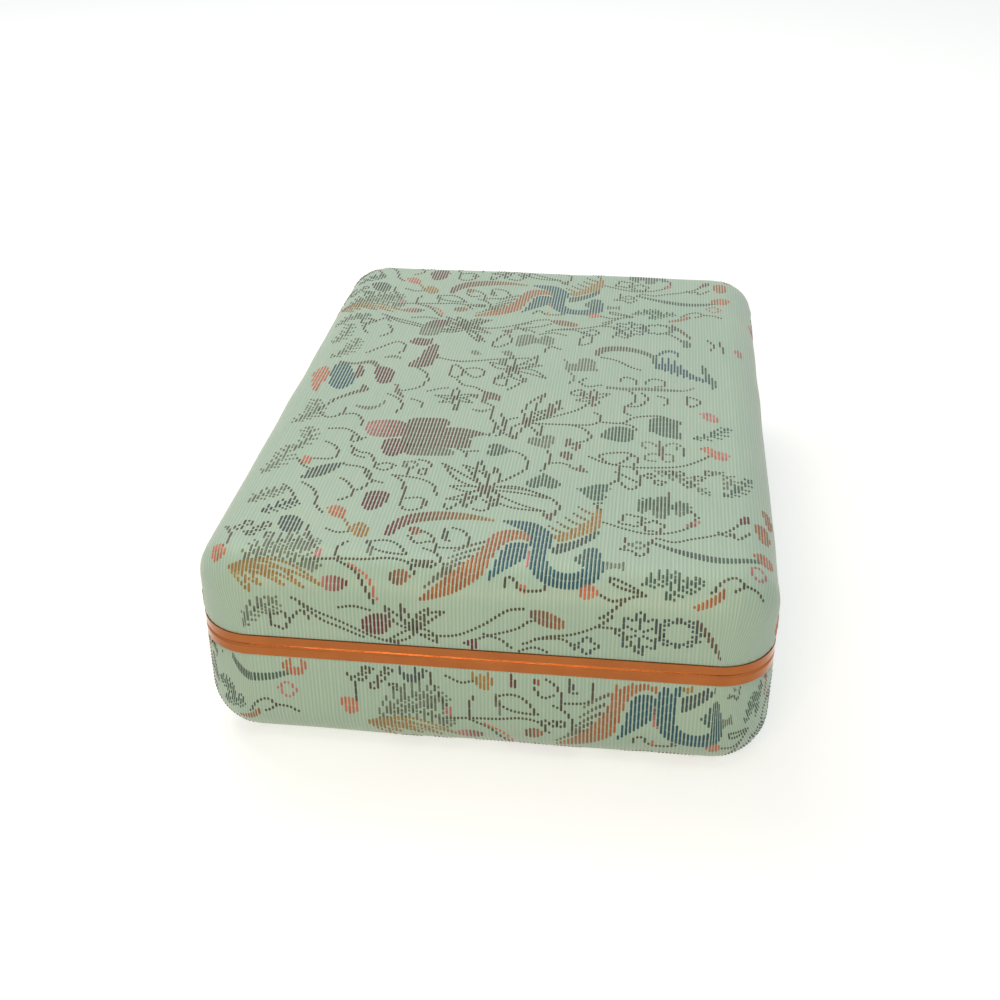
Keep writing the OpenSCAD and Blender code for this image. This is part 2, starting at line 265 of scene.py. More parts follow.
def cut_sheet(name, form, thickness, outwards):
    size = 2 * (CENTRES + form.reach)
    bpy.ops.object.select_all(action="DESELECT")
    bpy.ops.mesh.primitive_plane_add(size=1)
    sheet = bpy.context.object
    sheet.name = sheet.data.name = name
    bpy.ops.object.mode_set(mode="EDIT")
    bpy.ops.transform.resize(value=(size[0], size[1], 1))
    bpy.ops.mesh.select_all(action="SELECT")
    bpy.ops.mesh.bevel(offset=form.reach, segments=28, affect="VERTICES")
    for axis in (0, 1):
        normal = (1, 0, 0) if axis == 0 else (0, 1, 0)
        for place in rows_for(CENTRES[axis], form):
            bpy.ops.mesh.select_all(action="SELECT")
            bpy.ops.mesh.bisect(plane_co=(place * normal[0], place * normal[1], 0), plane_no=normal)
    bpy.ops.object.mode_set(mode="OBJECT")
    flat = np.zeros(len(sheet.data.vertices) * 3)
    sheet.data.vertices.foreach_get("co", flat)
    flat = flat.reshape(-1, 3)
    sheet.data.attributes.new("cloth_mm", "FLOAT_VECTOR", "POINT").data.foreach_set("vector", flat.ravel())
    out = np.linalg.norm(flat[:, :2] - np.clip(flat[:, :2], -CENTRES, CENTRES), axis=1)
    tuck = -0.35 * np.clip((out - form.reach + 0.5) / 0.5, 0, 1)
    sheet.data.vertices.foreach_set("co", fold(flat[:, :2], form, tuck).ravel())
    sheet.data.update()
    pick_up(sheet)
    solid = sheet.modifiers.new("thickness", "SOLIDIFY")
    solid.thickness = thickness * MM
    solid.offset = 1 if outwards else -1
    bpy.ops.object.modifier_apply(modifier=solid.name)
    bpy.ops.object.shade_smooth_by_angle(angle=math.radians(50))
    print(name, len(sheet.data.polygons), "faces")
    return sheet


lid_cloth = cut_sheet("lid_cover_cloth", lid_form, 0.75, False)
base_cloth = cut_sheet("base_cover_cloth", base_form, 0.75, False)
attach(lid_cloth, "lid")
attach(base_cloth, "base")
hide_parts("lid_brocade")
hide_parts("base_brocade")

# %% [markdown]
# ## The pattern
# The silk is figured with birds among vines and flowers, an old and common theme of such brocades. On the
# real cloth a loom's cards say which thread floats where. It could be painted as an image, but threads
# catch the light one by one, so here each motif is drawn as a few shapes on the flat cloth, in millimetres
# from the lid's middle. A line is an outline that the threads follow, and a fill is an area that they
# cover. The helpers below stand for the pattern maker's own strokes: a ribbon, a leaf, a blossom, a spray.

# %% Dyes and strokes
BRONZE, SLATE, TEAL, GREEN = "#4a4638", "#3c4a48", "#23525e", "#3f5a4c"
COPPER, GOLD, BROWN, PLUM = "#9a5c33", "#957036", "#5d4a3c", "#5e2c33"
CORAL, ROSE, GREY = "#b8674a", "#b06f6c", "#66705f"

design = []


def curve(points, closed=False):
    p = np.array(points, float)
    ends = (p[-1:], p[:2]) if closed else (2 * p[:1] - p[1:2], 2 * p[-1:] - p[-2:-1])
    p = np.vstack([ends[0], p, ends[1]])
    t = np.linspace(0, 1, 16, endpoint=False)[:, None]
    spans = [b + t * (c - a) / 2 + t**2 * (a - 2.5 * b + 2 * c - d / 2) + t**3 * (d - a + 3 * (b - c)) / 2
             for a, b, c, d in zip(p, p[1:], p[2:], p[3:])]
    return np.vstack(spans if closed else [*spans, p[-2:-1]])


def line(*points, dye=BRONZE, closed=False):
    design.append(("line", curve(points, closed), dye, 1))


def fill(*points, dye, every=1):
    design.append(("fill", curve(points, True), dye, every))


def ribbon(*points, width, dye, every=1):
    middle = curve(points)
    along = np.gradient(middle, axis=0)
    across = np.stack([-along[:, 1], along[:, 0]], 1) / np.linalg.norm(along, axis=1)[:, None]
    half = np.interp(np.linspace(0, 1, len(middle)), np.linspace(0, 1, len(width)), width)[:, None] / 2
    design.append(("fill", np.vstack([middle + across * half, (middle - across * half)[::-1]]), dye, every))


def leaf(base, tip, width, bend=0.0, dye=BRONZE, filled=False, every=1):
    base, tip = np.array(base, float), np.array(tip, float)
    along = tip - base
    across = np.array([-along[1], along[0]]) / np.linalg.norm(along)
    t = np.linspace(0, 1, 40)[:, None]
    spine = base + along * t + across * bend * np.sin(math.pi * t)
    half = across * width / 2 * np.sin(math.pi * t**0.8)
    edge = np.vstack([spine + half, (spine - half)[::-1]])
    design.append(("fill" if filled else "line", edge, dye, every))


def blossom(centre, radius, lobes=5, dye=BRONZE, filled=False, turn=0.0, wide=1.0):
    angle = np.linspace(0, 2 * math.pi, 60)
    reach = radius * (1 + 0.22 * np.cos(lobes * angle)) / 1.1
    across = centre[0] + wide * reach * np.cos(angle + turn)
    edge = np.stack([across, centre[1] + reach * np.sin(angle + turn)], 1)
    design.append(("fill" if filled else "line", edge, dye, 1))


def heart(point, size, angle=90.0, dye=GREEN):
    """point is the heart's sharp end, angle the way from there to its notch"""
    t = np.linspace(0, 2 * math.pi, 60)
    along = (13 * np.cos(t) - 5 * np.cos(2 * t) - 2 * np.cos(3 * t) - np.cos(4 * t) + 17) / 29
    across = 16 * np.sin(t)**3 / 32
    a = math.radians(angle)
    u = point[0] + size * (along * math.cos(a) - across * math.sin(a))
    v = point[1] + size * (along * math.sin(a) + across * math.cos(a))
    design.append(("fill", np.stack([u, v], 1), dye, 1))


def flower(hub, petals, dye=BRONZE, width=2.6):
    for angle, reach, bend in petals:
        a = math.radians(angle)
        leaf(hub, (hub[0] + reach * math.cos(a), hub[1] + reach * math.sin(a)), width, bend, dye)


def spray(spine, barb, count, lean=50.0, dye=BRONZE, sides=(1, -1)):
    middle = curve(spine)
    design.append(("line", middle, dye, 1))
    for i in np.linspace(0.08, 0.96, count):
        n = int(i * (len(middle) - 2))
        way = math.atan2(*(middle[n + 1] - middle[n])[::-1])
        size = barb * (0.45 + 0.55 * math.sin(math.pi * i))
        for side in sides:
            a = way + side * math.radians(lean)
            end = middle[n] + size * np.array([math.cos(a), math.sin(a)])
            design.append(("line", np.linspace(middle[n], end, 12), dye, 1))


# %% [markdown]
# ## The birds
# A long-tailed bird fills the front of the lid, and three smaller ones fly behind it. Wings and tails are
# rows of short bars in copper, gold and teal, so they are fills and ribbons, with feather tips as ribbons
# that narrow to a point.

# %% The great bird
ribbon((-21.6, -77), (-20.8, -73), (-17.5, -69.2), (-11.5, -67.3), (-5, -67.1), (1, -68.2),
       width=[1.4, 3.2, 4.2, 4, 2.6, 0.8], dye=(PLUM, GOLD))
fill((2.5, -68), (6, -67.5), (9.5, -68), (12, -69.8), (14, -72.5), (14.3, -76), (13.6, -80), (13.8, -83),
     (15.5, -85.7), (18.5, -86.5), (21, -85.6), (22.3, -83.5), (25.6, -83.5), (25.2, -87), (22.5, -89.4),
     (18.5, -90.2), (14, -89.4), (11, -87), (9.8, -83.5), (9.7, -79), (9.4, -75), (8, -72.2), (5.5, -70.3),
     dye=TEAL)
fill((19.2, -82), (20.6, -79.8), (21.5, -77.6), (23.8, -77), (25, -79.5), (25.7, -83), (25.2, -86.3),
     (23, -85.6), (21.2, -84.3), dye=(GREEN, TEAL))
for u, half in ((26.4, 1.3), (27.2, 1.0), (28.1, 0.8), (28.9, 0.9), (29.7, 1.4)):
    line((u, -83.4 - half), (u, -83.4 + half), dye=GREY)
fill((9.4, -76), (9, -73.4), (7, -71.7), (4, -71.6), (1.4, -73.2), (0, -76.5), (-1, -80.5), (-3.5, -85),
     (-7.5, -89.3), (-12.5, -94.3), (-6.5, -93), (-2, -90.5), (0.6, -88), (1.6, -85), (2.6, -81),
     (3.8, -77.8), (5.6, -75.9), (7.6, -75.2), dye=(COPPER, COPPER))
for u, v in ((-0.2, -76.8), (-1, -79.6), (-2.2, -82.4), (-3.8, -85), (-5.8, -87.4)):
    ribbon((u, v), (u - 3, v - 1.9), (u - 6.2, v - 4.6), width=[1.0, 0.9, 0.5], dye=(GREY, BROWN))
fill((4.6, -77.4), (6.6, -76.4), (9, -76.8), (9.4, -79.5), (9.1, -82.3), (7.8, -84.2), (5.6, -86.2),
     (3.2, -88.2), (1.4, -89.8), (2.2, -86.4), (3, -83.2), (3.7, -80), dye=TEAL)
line((9.5, -79.6), (9.3, -82.4), (9.7, -85.4), dye=ROSE)
fill((14.8, -80.4), (15, -76.6), (17.6, -75.4), (20.2, -73.4), (22.6, -70.6), (23.8, -69.4), (23.8, -72),
     (22, -74.8), (19.6, -77.4), (17, -79.6), dye=SLATE)
fill((14.4, -73), (17, -71.4), (19, -68.8), (21, -66), (22.4, -63), (23.4, -60), (24.7, -63), (24.4, -67),
     (23.4, -69.6), (21, -71.8), (18, -74.2), (15.6, -75.4), dye=GOLD)
for u, v in ((16.4, -71.8), (18.2, -70), (19.8, -67.8), (21.2, -65.4), (22.4, -62.8)):
    ribbon((u, v), (u - 1.8, v + 1.2), (u - 3.6, v + 3), width=[1.1, 0.9, 0.4], dye=(BROWN, GOLD))
line((23.6, -60.5), (22.6, -58), (23.8, -57.6))
line((5.2, -90.6), (5.6, -88.4), (7.2, -88.5), (8.2, -90.4), (10, -91), (13.6, -90.6), (13.6, -89.4))
fill((8.6, -91), (9.2, -89), (10.2, -91.5), dye=CORAL)
fill((20.8, -90), (23, -88.6), (25.2, -90.4), (23.6, -91.8), (21.8, -92), dye=CORAL)
line((25.4, -90.8), (28, -92), (30.5, -91.4))

# %% The bird with spread wings
fill((-37, -24), (-33, -22), (-28.5, -22.2), (-26, -25), (-25.8, -29), (-30, -31.2), (-35.5, -30.2),
     dye=(ROSE, PLUM))
fill((-26.4, -21), (-22, -19.8), (-17.4, -20), (-16.2, -22.4), (-17.8, -26), (-22, -27.4), (-26, -26),
     dye=BROWN)
fill((-25.8, -26), (-20, -25.8), (-15, -24.2), (-10, -25), (-6.2, -27.2), (-9.6, -29.4), (-9.2, -34.4),
     (-13, -35.4), (-19, -35), (-25, -35.6), (-26.6, -30.6), dye=BROWN)
fill((-31, -33), (-27.8, -31.4), (-24.6, -33.6), (-24.8, -38), (-27.4, -41), (-30.2, -39), dye=PLUM)
fill((-24.6, -34), (-19, -34.6), (-14, -36), (-12.6, -38.8), (-18, -39.8), (-24.4, -39.4),
     dye=(BROWN, GREY))
line((-12, -35.6), (-10.2, -37.2), (-9.6, -39.6))
line((-10.6, -37), (-7.4, -36.2))

# %% Two birds at the back
fill((-57.6, 5), (-55, 8.4), (-53, 4), (-53.4, -2), (-54.4, -8), (-56.6, -2), dye=CORAL)
fill((-53, 9), (-49.4, 10.6), (-46.6, 5), (-45.4, -1), (-48, -5.6), (-51.6, -3), (-52.6, 3), dye=TEAL)
ribbon((-52, 11.4), (-47.6, 10.6), (-43, 12), (-40.4, 8.6), width=[1.6, 1.2, 2.2, 1.2], dye=BROWN)
fill((-46.4, 9.6), (-44.4, 8.4), (-44, 3), (-45.8, 2), dye=PLUM)
fill((-41, 9), (-37.4, 8.8), (-35, 5), (-35.6, 0), (-38.6, -0.8), (-40.6, 4), dye=PLUM)
ribbon((-33.6, -1), (-32.6, -5.4), (-30.4, -9), width=[1, 1.8, 0.8], dye=BROWN)
ribbon((-42.4, -2), (-41.6, -5), (-44.4, -7.6), (-49, -12.6), width=[0.8, 2.2, 1.6, 0.8], dye=BROWN)
line((-30, 10), (-26.8, 6.6), (-26, 2), (-27.6, -2.4), (-31.6, -5))
ribbon((18.2, 23), (20, 27.2), (25, 28.4), (30, 27), (34, 23.4), (34.6, 18),
       width=[1.2, 3.4, 3.4, 2.4, 1.8, 0.8], dye=(BROWN, GREEN))
line((20, 22), (24, 20.2), (28, 16.4), (31, 14.6))
for i in range(9):
    ribbon((34.8 + 1.7 * i, 23 - 1.1 * i + 3 * math.sin(0.7 * i)), (35.4 + 1.7 * i, 14.4 - 0.8 * i),
           width=[0.9, 1.4, 0.5], dye=TEAL)
ribbon((34.6, 24), (37.4, 28), (40, 27.6), (41, 24.6), width=[0.8, 1.8, 1.4, 0.6], dye=TEAL)
ribbon((47.6, 20), (48.4, 14), (50.6, 8.6), (50, 4.6), width=[0.8, 1.8, 1.6, 0.8], dye=GREEN)

print("shapes in the birds:", len(design))

# %% [markdown]
# ## Flowers and leaves
# Each great flower is a ring of pointed petals round a small dark heart. Petals are outlines only, and the
# heart-shaped leaves and small blooms between them are filled.

# %% Great flowers
F1 = (-3.0, -54.0)
flower(F1, [(137, 15.5, 1.0), (122, 12.4, -1.2), (102, 13.4, 0.6), (84, 10.4, -0.8),
            (-12, 14.4, 1.6), (-32, 16.6, -2.2), (-70, 8.6, 1), (-112, 9.8, -1.0),
            (-146, 10, 1.2), (176, 8.4, 0.8)])
blossom(F1, 1.7, 6, dye=BROWN, filled=True)
line((0.6, -53.2), (7, -54), (12.4, -57), (14.5, -60.6), (13.2, -64))
F2 = (3.0, -19.5)
flower(F2, [(78, 17.6, 1.6), (62, 15.6, -1.6), (47, 12.4, 1.2), (-62, 8.0, 1.4), (-103, 9.6, -1.2)])
blossom(F2, 1.5, 6, dye=BROWN, filled=True)
line(F2, (10, -15.4), (15.4, -11), (18.4, -6))
ribbon((7.4, -15.6), (8.4, -12), (7.6, -8), width=[1.2, 2, 0.8], dye=BROWN)
F3 = (-4.0, 12.0)
flower(F3, [(92, 9, 1), (58, 11.6, -1.4), (20, 8.4, 1.0), (-30, 11, 1.2), (-62, 9.4, -1.0),
            (-118, 8, 1), (150, 7.6, 0.8)])
blossom(F3, 2.0, 6, dye=BROWN, filled=True)
F4 = (-16.6, -7.6)
flower(F4, [(95, 6.4, 0.4), (30, 5, 0.3), (-85, 7.4, 0.3), (170, 5.4, 0.3), (-140, 5, 0.3), (-30, 5, 0.2)],
       width=1.7)
F5 = (19.2, -3.8)
flower(F5, [(92, 5.4, 0.3), (140, 5, 0.3), (40, 5, 0.3), (-92, 5, 0.3), (200, 5, 0.2)], width=1.8,
       dye=BROWN)
F6 = (-20.5, 38.0)
flower(F6, [(100, 7, 0.4), (50, 8.6, 0.4), (-20, 8, 0.4), (-62, 10.4, 0.6), (150, 8, 0.4), (205, 7, 0.4)],
       width=1.9)

# %% Heart leaves and small blooms
heart((1.6, -35.2), 6.6, 178, GREEN)
heart((9.6, -33.6), 7.4, 112, GREY)
heart((9.8, -44.6), 8.0, -88, GREEN)
heart((17.6, -51.8), 7.8, -12, GREEN)
leaf((30.4, -21), (21.4, -25.6), 8.6, 0.6, GREEN, True)
leaf((41.6, -14.8), (33.4, -21.4), 7.6, -1.6, GREEN, True)
fill((41.8, -23.8), (40.2, -14.6), (38, -19), (34.4, -20.2), (36.6, -23), (39.4, -24), dye=GREEN)
fill((-5, 34), (-1, 35.8), (1, 33), (3, 35.6), (6, 33), (4.8, 28.6), (0.8, 29.8), (-4.4, 27), dye=GREY)
heart((19.6, 12.6), 9.6, 142, GREY)
fill((-33, 11), (-30.6, 17), (-29.4, 24), (-26.8, 26.4), (-25.6, 19), (-26.4, 12), (-30, 10),
     dye=(BROWN, PLUM))
fill((-35, 27), (-33.6, 30.4), (-30, 29.8), (-28.2, 31), (-29, 26), (-31.6, 25), dye=PLUM)
fill((-33.4, 33), (-32.6, 40), (-29, 41.4), (-27, 37), (-28.4, 32.6), dye=GREY)
leaf((-46.6, -54), (-37.6, -45), 4.8, 0.4, SLATE, True)
fill((-47.4, -72), (-44, -70.4), (-41.2, -73.4), (-41.4, -76.6), (-45, -77.4), dye=SLATE)
fill((-30.5, -61), (-29.5, -58.4), (-27, -57.7), (-24.8, -58.6), (-24.6, -62), (-25.6, -65), (-28, -66.8),
     (-29.8, -65), dye=PLUM)
fill((-37.4, -66.4), (-35, -65.2), (-32.6, -68), (-33.4, -70.6), (-36, -69.6), dye=CORAL)
line((-33.2, -70), (-31.4, -73), (-30.4, -75.6), dye=GOLD)
fill((-30.4, -74), (-28.6, -71.8), (-26, -74.8), (-26.6, -78), (-29, -77.6), dye=GOLD)
fill((-49, -43), (-46.6, -43.4), (-46, -46.4), (-48.4, -46.6), dye=CORAL)
fill((-60, -83.4), (-57, -83), (-55.6, -86), (-58.4, -87.6), dye=CORAL)
fill((-19.2, -89), (-16.6, -87.8), (-14.6, -89.4), (-16.4, -91.4), (-18.6, -91), dye=(BROWN, COPPER))
fill((-33.8, -91), (-31, -90.2), (-27.8, -91.4), (-29.4, -93.4), (-32.6, -93.4), dye=(ROSE, PLUM))
fill((46.4, -29), (48.4, -27.8), (50, -29.6), (53.2, -31.4), (52.6, -34.6), (50, -34.2), (48.4, -32),
     dye=(CORAL, ROSE))
fill((46.6, -10), (49, -9.4), (51, -12), (50.6, -14.6), (48, -13.6), dye=ROSE)
spray([(32.4, -58), (36, -56.8), (44, -57.6)], 3.0, 9, 80, GREEN)
for i in range(12):
    u = 32.4 + i
    ribbon((u, -57.6 + 4.4 * math.sin(math.pi * (i + 1) / 13)),
           (u, -58.6 - 4.6 * math.sin(math.pi * (i + 2) / 15)), width=[0.5, 1.1, 0.5], dye=(GREEN, GREY))
ribbon((39.6, -49.6), (39, -54.6), width=[0.5, 1.3], dye=BROWN)
blossom((31, -64.4), 2.6, 4, turn=0.5)
blossom((35.8, -66.6), 2.5, 5, turn=0.2)
line((43.6, -58.8), (45.4, -62), (43.6, -65.4))
line((24.8, -65.8), (30, -68.4), (34.4, -69.8), (39, -69.2), (42.4, -67.4), (44.6, -65.2))
fill((43, -65.8), (44.4, -63.6), (46, -63.4), (45, -66), dye=ROSE)
line((36.8, -71.6), (40.4, -72.8), (44, -71.2), (48.4, -69.4), (52.4, -66.8), (55.4, -62.6))
fill((54.4, -63.6), (55.4, -60.4), (57.4, -60), (56.6, -63), dye=PLUM)
line((50.2, -67.6), (51.8, -69.2), (53, -67.8), (54, -70.2), (55.6, -68.6), (57, -66.6))
ribbon((35.6, -73.4), (40, -75.8), (44.4, -77.6), (49.4, -78.9), (54.4, -78.6), (58.6, -77.2),
       width=[0.9, 1.5, 2.4, 2.5, 2, 1.3], dye=(SLATE, GREEN))
line((30, -71.8), (30.2, -75.4), (28.8, -77), (31.4, -77.2), (33, -79.2), (34.8, -77), (34.4, -74.8),
     (36, -72))
blossom((32.6, -74.8), 1.4, 4, dye=GREY)
fill((58, -62.6), (61, -61), (62.6, -64), (62, -67.6), (59.4, -68), dye=COPPER)
fill((60.6, -54), (63.4, -53), (64.6, -57), (62.4, -60), dye=COPPER)
fill((57.4, -75), (60, -73), (63, -74), (62, -77.4), (59, -77.6), dye=(COPPER, CORAL))
line((56.6, -81), (58.4, -79.8), (60, -82), (58.4, -84), (56.8, -82.6), dye=ROSE, closed=True)
spray([(34.4, -88), (38, -86), (42, -85.4)], 2.6, 6, 60, GREEN)
spray([(39, -91), (42.4, -88), (46.4, -86.4)], 2.4, 6, 60, GREEN)
line((48.6, -89), (50.4, -86.4), (53.2, -84.8), (55, -86.6), (53, -88.4))
line((55.4, -86.4), (58.4, -86.8), (60, -88))
ribbon((45, -92.6), (48, -91.2), (50.2, -89.6), (51.2, -88), width=[1.2, 1.8, 1.8, 1.2], dye=COPPER)
line((27.6, -87), (30.4, -88), (34, -90), (30, -89.2), (27.8, -88.2), closed=True)
line((26, -95.8), (28.6, -93.6), (31.4, -91.2), (34.6, -90.4))

print("shapes with flowers and leaves:", len(design))

# %% [markdown]
# ## Stems
# Thin curling stems join everything, with buds and tendrils. Each is a line through a few points, and the
# curve helper rounds it off.

# %% Stems on the right
line((5, -20), (12, -20), (19, -19.4), (21.6, -16.4), (21, -13.2), (19.4, -12.2))
line((22, -17.6), (27, -17.4), (30, -13.8), (36, -12.4), (39.6, -14.4))
line((26.4, -17.4), (29.6, -18.6), (30.6, -21))
line((1.6, -35.2), (4, -37), (5.5, -41), (4.8, -44.6), (0.4, -50.4))
line((9.6, -33.6), (10.8, -38), (10, -41), (9, -44.4))
line((9.8, -40.4), (13, -39.6), (15.4, -40.6))
line((14, -20), (17.4, -21.6), (19.4, -25), (18.8, -27.8), (16.4, -29.2))
line((32.6, -5), (30.8, -7.4), (27.4, -8), (27.2, -11), (29, -12.8))
line((19.6, -35.6), (24, -38.8), (30, -40.2), (36, -39.8), (42, -38.4), (46.4, -35), (48.6, -32.4))
line((22.6, -34.8), (25.4, -33.4), (29.4, -33.2), (28.8, -36.4), (26, -39.4), (23.4, -37.4), closed=True)
line((29.6, -33.4), (31.6, -36), (30.4, -39.6))
line((27, -40.2), (27.2, -44), (27.2, -46.6), (30.2, -51), (32.6, -47), (31.4, -42.4), (30.4, -40.2))
line((27.2, -46.6), (24.6, -50))
line((26.8, -43), (30, -46), (32.4, -48))
fill((13.4, -28), (15, -27.2), (15.4, -29.2), (17.2, -29.6), (17, -33.2), (15.6, -32.6), (15.4, -30.4),
     (13.2, -31.8), dye=BROWN)
fill((13, -34), (14.8, -33.8), (15.8, -35.6), (15.2, -38.4), (13.6, -37), (12.6, -36), dye=BROWN)
fill((14.6, -40.8), (17, -41.6), (18.4, -39.8), (19, -42), (20, -43.8), (17.6, -43.4), dye=BROWN)
fill((10.4, -62.4), (12, -63.8), (13.8, -63), (13.4, -66.6), (11.6, -65.6), dye=BROWN)
ribbon((36.6, -25.6), (37, -31), (37, -37.4), width=[0.6, 1.3, 0.6], dye=BROWN)
for side in (-1, 1):
    line((36.8, -30), (36.8 + 2.4 * side, -27), (36.8 + 4.4 * side, -27.4), (36.8 + 3.8 * side, -30.4),
         dye=GREY)
    line((36.8, -33), (36.8 + 2.8 * side, -33), (36.8 + 3.4 * side, -36), (36.8 + 1.4 * side, -36.6),
         dye=GREY)
line((42.6, -29), (42.8, -33.4), dye=SLATE)
for i in range(7):
    blossom((34.4 + 2.3 * i, -44 - 3.2 * math.sin(1.9 * i)), 1.2, 4, turn=0.4 * i)
spray([(36, -41.4), (42, -44.6), (48.6, -51.6)], 2.2, 9, 70, GREY)
spray([(51.4, -51.6), (55, -48.4), (58, -42)], 2.6, 6, 55, GREEN)
spray([(44.6, -24), (50, -21.6), (53, -17.4)], 2.6, 6, 60, GREEN)
spray([(50, -40), (53.4, -44), (52, -48)], 2.0, 5, 60, GREY)
line((22, 2.6), (27, 3), (33, 2.4), (42, 2.8), (45, 5), dye=GREY)
ribbon((22, 3.4), (27, 2.6), (33, 3.2), (42, 2.8), width=[1, 2, 2, 0.8], dye=GREY)
line((28.4, 1.4), (30, -2), (29.4, -5.4), (27.2, -8))
line((31.6, 0.6), (33, -3), (31.4, -7))
line((25.4, 7), (26.6, 10), (29.6, 8.4), (29.4, 5.6))
line((32, 6), (33.6, 9.4), (37, 8.6), (37.2, 5.4), (34.4, 4.6))
line((36, -1), (38.4, -3), (37.6, -6.4))
line((43, -0.6), (46.8, -3.4), (44, -6.8), (43.6, -3), closed=True)
line((13, -1.2), (15.4, 1), (16.4, -2), (14.2, -2.6), closed=True)
line((10, 20), (10.6, 14), (13, 8.4), (12, 4), dye=GREY)
line((16, 8), (15, 5.4), (17, 3), (20.4, 4.4))
line((12.8, 30), (13.4, 34.6), (15.6, 37.4), (16, 31.6), closed=True)
line((22, 36), (24.4, 41.4), (26.4, 36.4), (23.4, 38))
line((37, 41.6), (40, 38.4), (42.6, 34.8))
fill((41.6, 36), (43.6, 36), (44.4, 32), (42.4, 31.4), dye=GREEN)
line((49, 37), (50.8, 33), (49.6, 29.6))
line((52.4, 36), (53, 32), (53.4, 28))
fill((56.4, 31), (58, 32), (59, 29), (57.6, 27), dye=ROSE)

# %% Stems on the left
line((0, -28), (-3.4, -24), (-2.2, -19), (0.6, -17))
line((-5.4, -28), (-4.4, -22), (-6.6, -17), (-6, -12), (-9.6, -9))
line((-4, -15), (-2, -22), (-3.4, -27.6))
ribbon((-12, -13.6), (-9, -14.4), (-7, -13), width=[0.6, 1.6, 0.6], dye=GREY)
fill((-10.4, -4), (-8.4, -3), (-5.4, -5), (-5, -8), (-7.8, -7.4), (-9.4, -9.4), dye=BROWN)
fill((-13, -6), (-11.4, -4.6), (-10.8, -7.4), dye=BROWN)
line((-26, -50), (-21.4, -50.4), (-18, -51.4), (-15, -54), (-14, -58.4))
line((-25, -50.4), (-22.6, -52.8), (-21.2, -57))
line((-21, -42), (-18.2, -42.8), (-17, -45.4))
line((-19.6, -47), (-18, -46), (-17.8, -49), (-19.6, -48.6), closed=True)
line((-24, -43), (-22.6, -46.4), (-22.4, -49.6))
blossom((-22.2, -44.6), 1.8, 5, dye=GREY)
line((-38.4, -36.8), (-35.6, -39.6), (-33.2, -40), (-31.4, -43), (-30.6, -46.4))
line((-38, -36.4), (-36.8, -41), (-33.6, -42.4))
line((-45, -35.2), (-42, -37.4), (-40.8, -40.6), (-41.6, -43.6), (-45.6, -44))
line((-50, -44), (-47.6, -47.6), (-44, -50))
line((-37.4, -46.4), (-34, -47), (-31.4, -49), (-30.2, -54), (-32, -58))
line((-33, -47), (-31, -52), (-27.6, -54))
line((-30.6, -46.4), (-28.4, -44.4), (-26, -45.4), (-28, -48), closed=True)
line((-37, -53), (-34.4, -56), (-33, -60), (-35.4, -63))
line((-46, -55.6), (-42.6, -58.6), (-41, -62), (-40.4, -65.4), (-38, -68.8))
line((-50, -57), (-47.4, -60), (-45.4, -64))
spray([(-56, -66), (-53, -62), (-49.4, -59)], 2.6, 6, 60, GREY)
spray([(-52, -70), (-48, -66.4), (-44.6, -64.4)], 2.4, 6, 70, SLATE)
spray([(-57, -52), (-54, -46), (-53, -38)], 3.2, 7, 50, GREY)
spray([(-51.6, -40), (-49.4, -34), (-51, -28)], 2.8, 6, 55, GREY)
spray([(-55.6, -26), (-52, -20), (-52.6, -12)], 3.2, 8, 50, GREY)
line((-48, -12), (-50.6, -18), (-48, -22), (-45, -20.6), (-44, -16))
line((-44, -20), (-41, -19.4), (-38.8, -22), (-38.2, -25.8))
line((-46, -28.4), (-41.4, -28), (-38, -31), (-36.8, -33.4))
line((-39, -31), (-38.4, -34.6), (-36, -32))
ribbon((-42, -14.6), (-38.6, -15.8), (-36, -14.6), (-34.4, -10.6), width=[0.8, 2.2, 1.2, 0.6], dye=GREY)
line((-35, -7), (-31.6, -9.6), (-30, -13.4), (-30.6, -18))
line((-28, -9.6), (-25.2, -11.4), (-24.8, -14.4))
line((-22, -55), (-21.4, -60), (-20.6, -65), (-17.4, -65.2), (-15.6, -62), (-17.4, -59.6), (-20.6, -60.4))
fill((-17.2, -62), (-16, -60.8), (-15.6, -63.6), dye=BROWN)
line((-11.4, -61.6), (-10.4, -64.4), (-8, -60.6), (-5.6, -57.6))
line((-5, -63.4), (-2.4, -64.2), (-1, -61.8), (-3, -59))
line((-24, 42), (-21, 38.6))
line((-26.4, 17.6), (-20, 15.4), (-15, 16), (-8, 18), (0, 19.6))
line((-20, 13), (-17, 9), (-18.4, 5), (-20.6, 7), closed=True)
line((-17, 10), (-13.4, 11.4), (-11, 8.4), (-13.6, 5.4), closed=True)
fill((-17, 22), (-15.4, 23), (-13.8, 20.6), (-15.6, 20), dye=GREY)
fill((-8, 23), (-5.8, 23.8), (-5, 20.8), (-7, 20.6), dye=GREY)
fill((-8.6, 17), (-6.4, 18), (-5.6, 15.6), (-7.8, 15), dye=GREY)
line((-7, 7), (-4.6, 4.4), (-4.8, 1), (-8, 2.6), closed=True)
line((0.4, 6), (-1.4, 2), (-4, -1.6))
line((-18, 4), (-16, 0.6), (-12.8, -0.4), (-10, -3))
line((-19.4, -1.6), (-22, -2.4), (-24.6, -4.4))
line((-11, 26.6), (-10.6, 31), (-8, 35.4), (-6.4, 30), (-9.4, 26), closed=True)
line((-14, 29), (-16, 33.6), (-19, 36.4))
line((-45.6, 18), (-42.4, 22.6), (-38.4, 27), (-35.6, 24), (-36.4, 18.6))
ribbon((-40, 15.4), (-37.4, 16.4), (-35, 15), width=[0.8, 2, 0.8], dye=GREY)
spray([(-55, 14), (-51, 20), (-50, 28)], 3, 7, 50, GREY)
spray([(-57, 24), (-54.4, 30), (-54.6, 38)], 2.8, 6, 50, GREY)
line((-44, 30), (-41.6, 34), (-43, 38.6))
line((-48.6, 32), (-50.4, 37), (-48, 42))
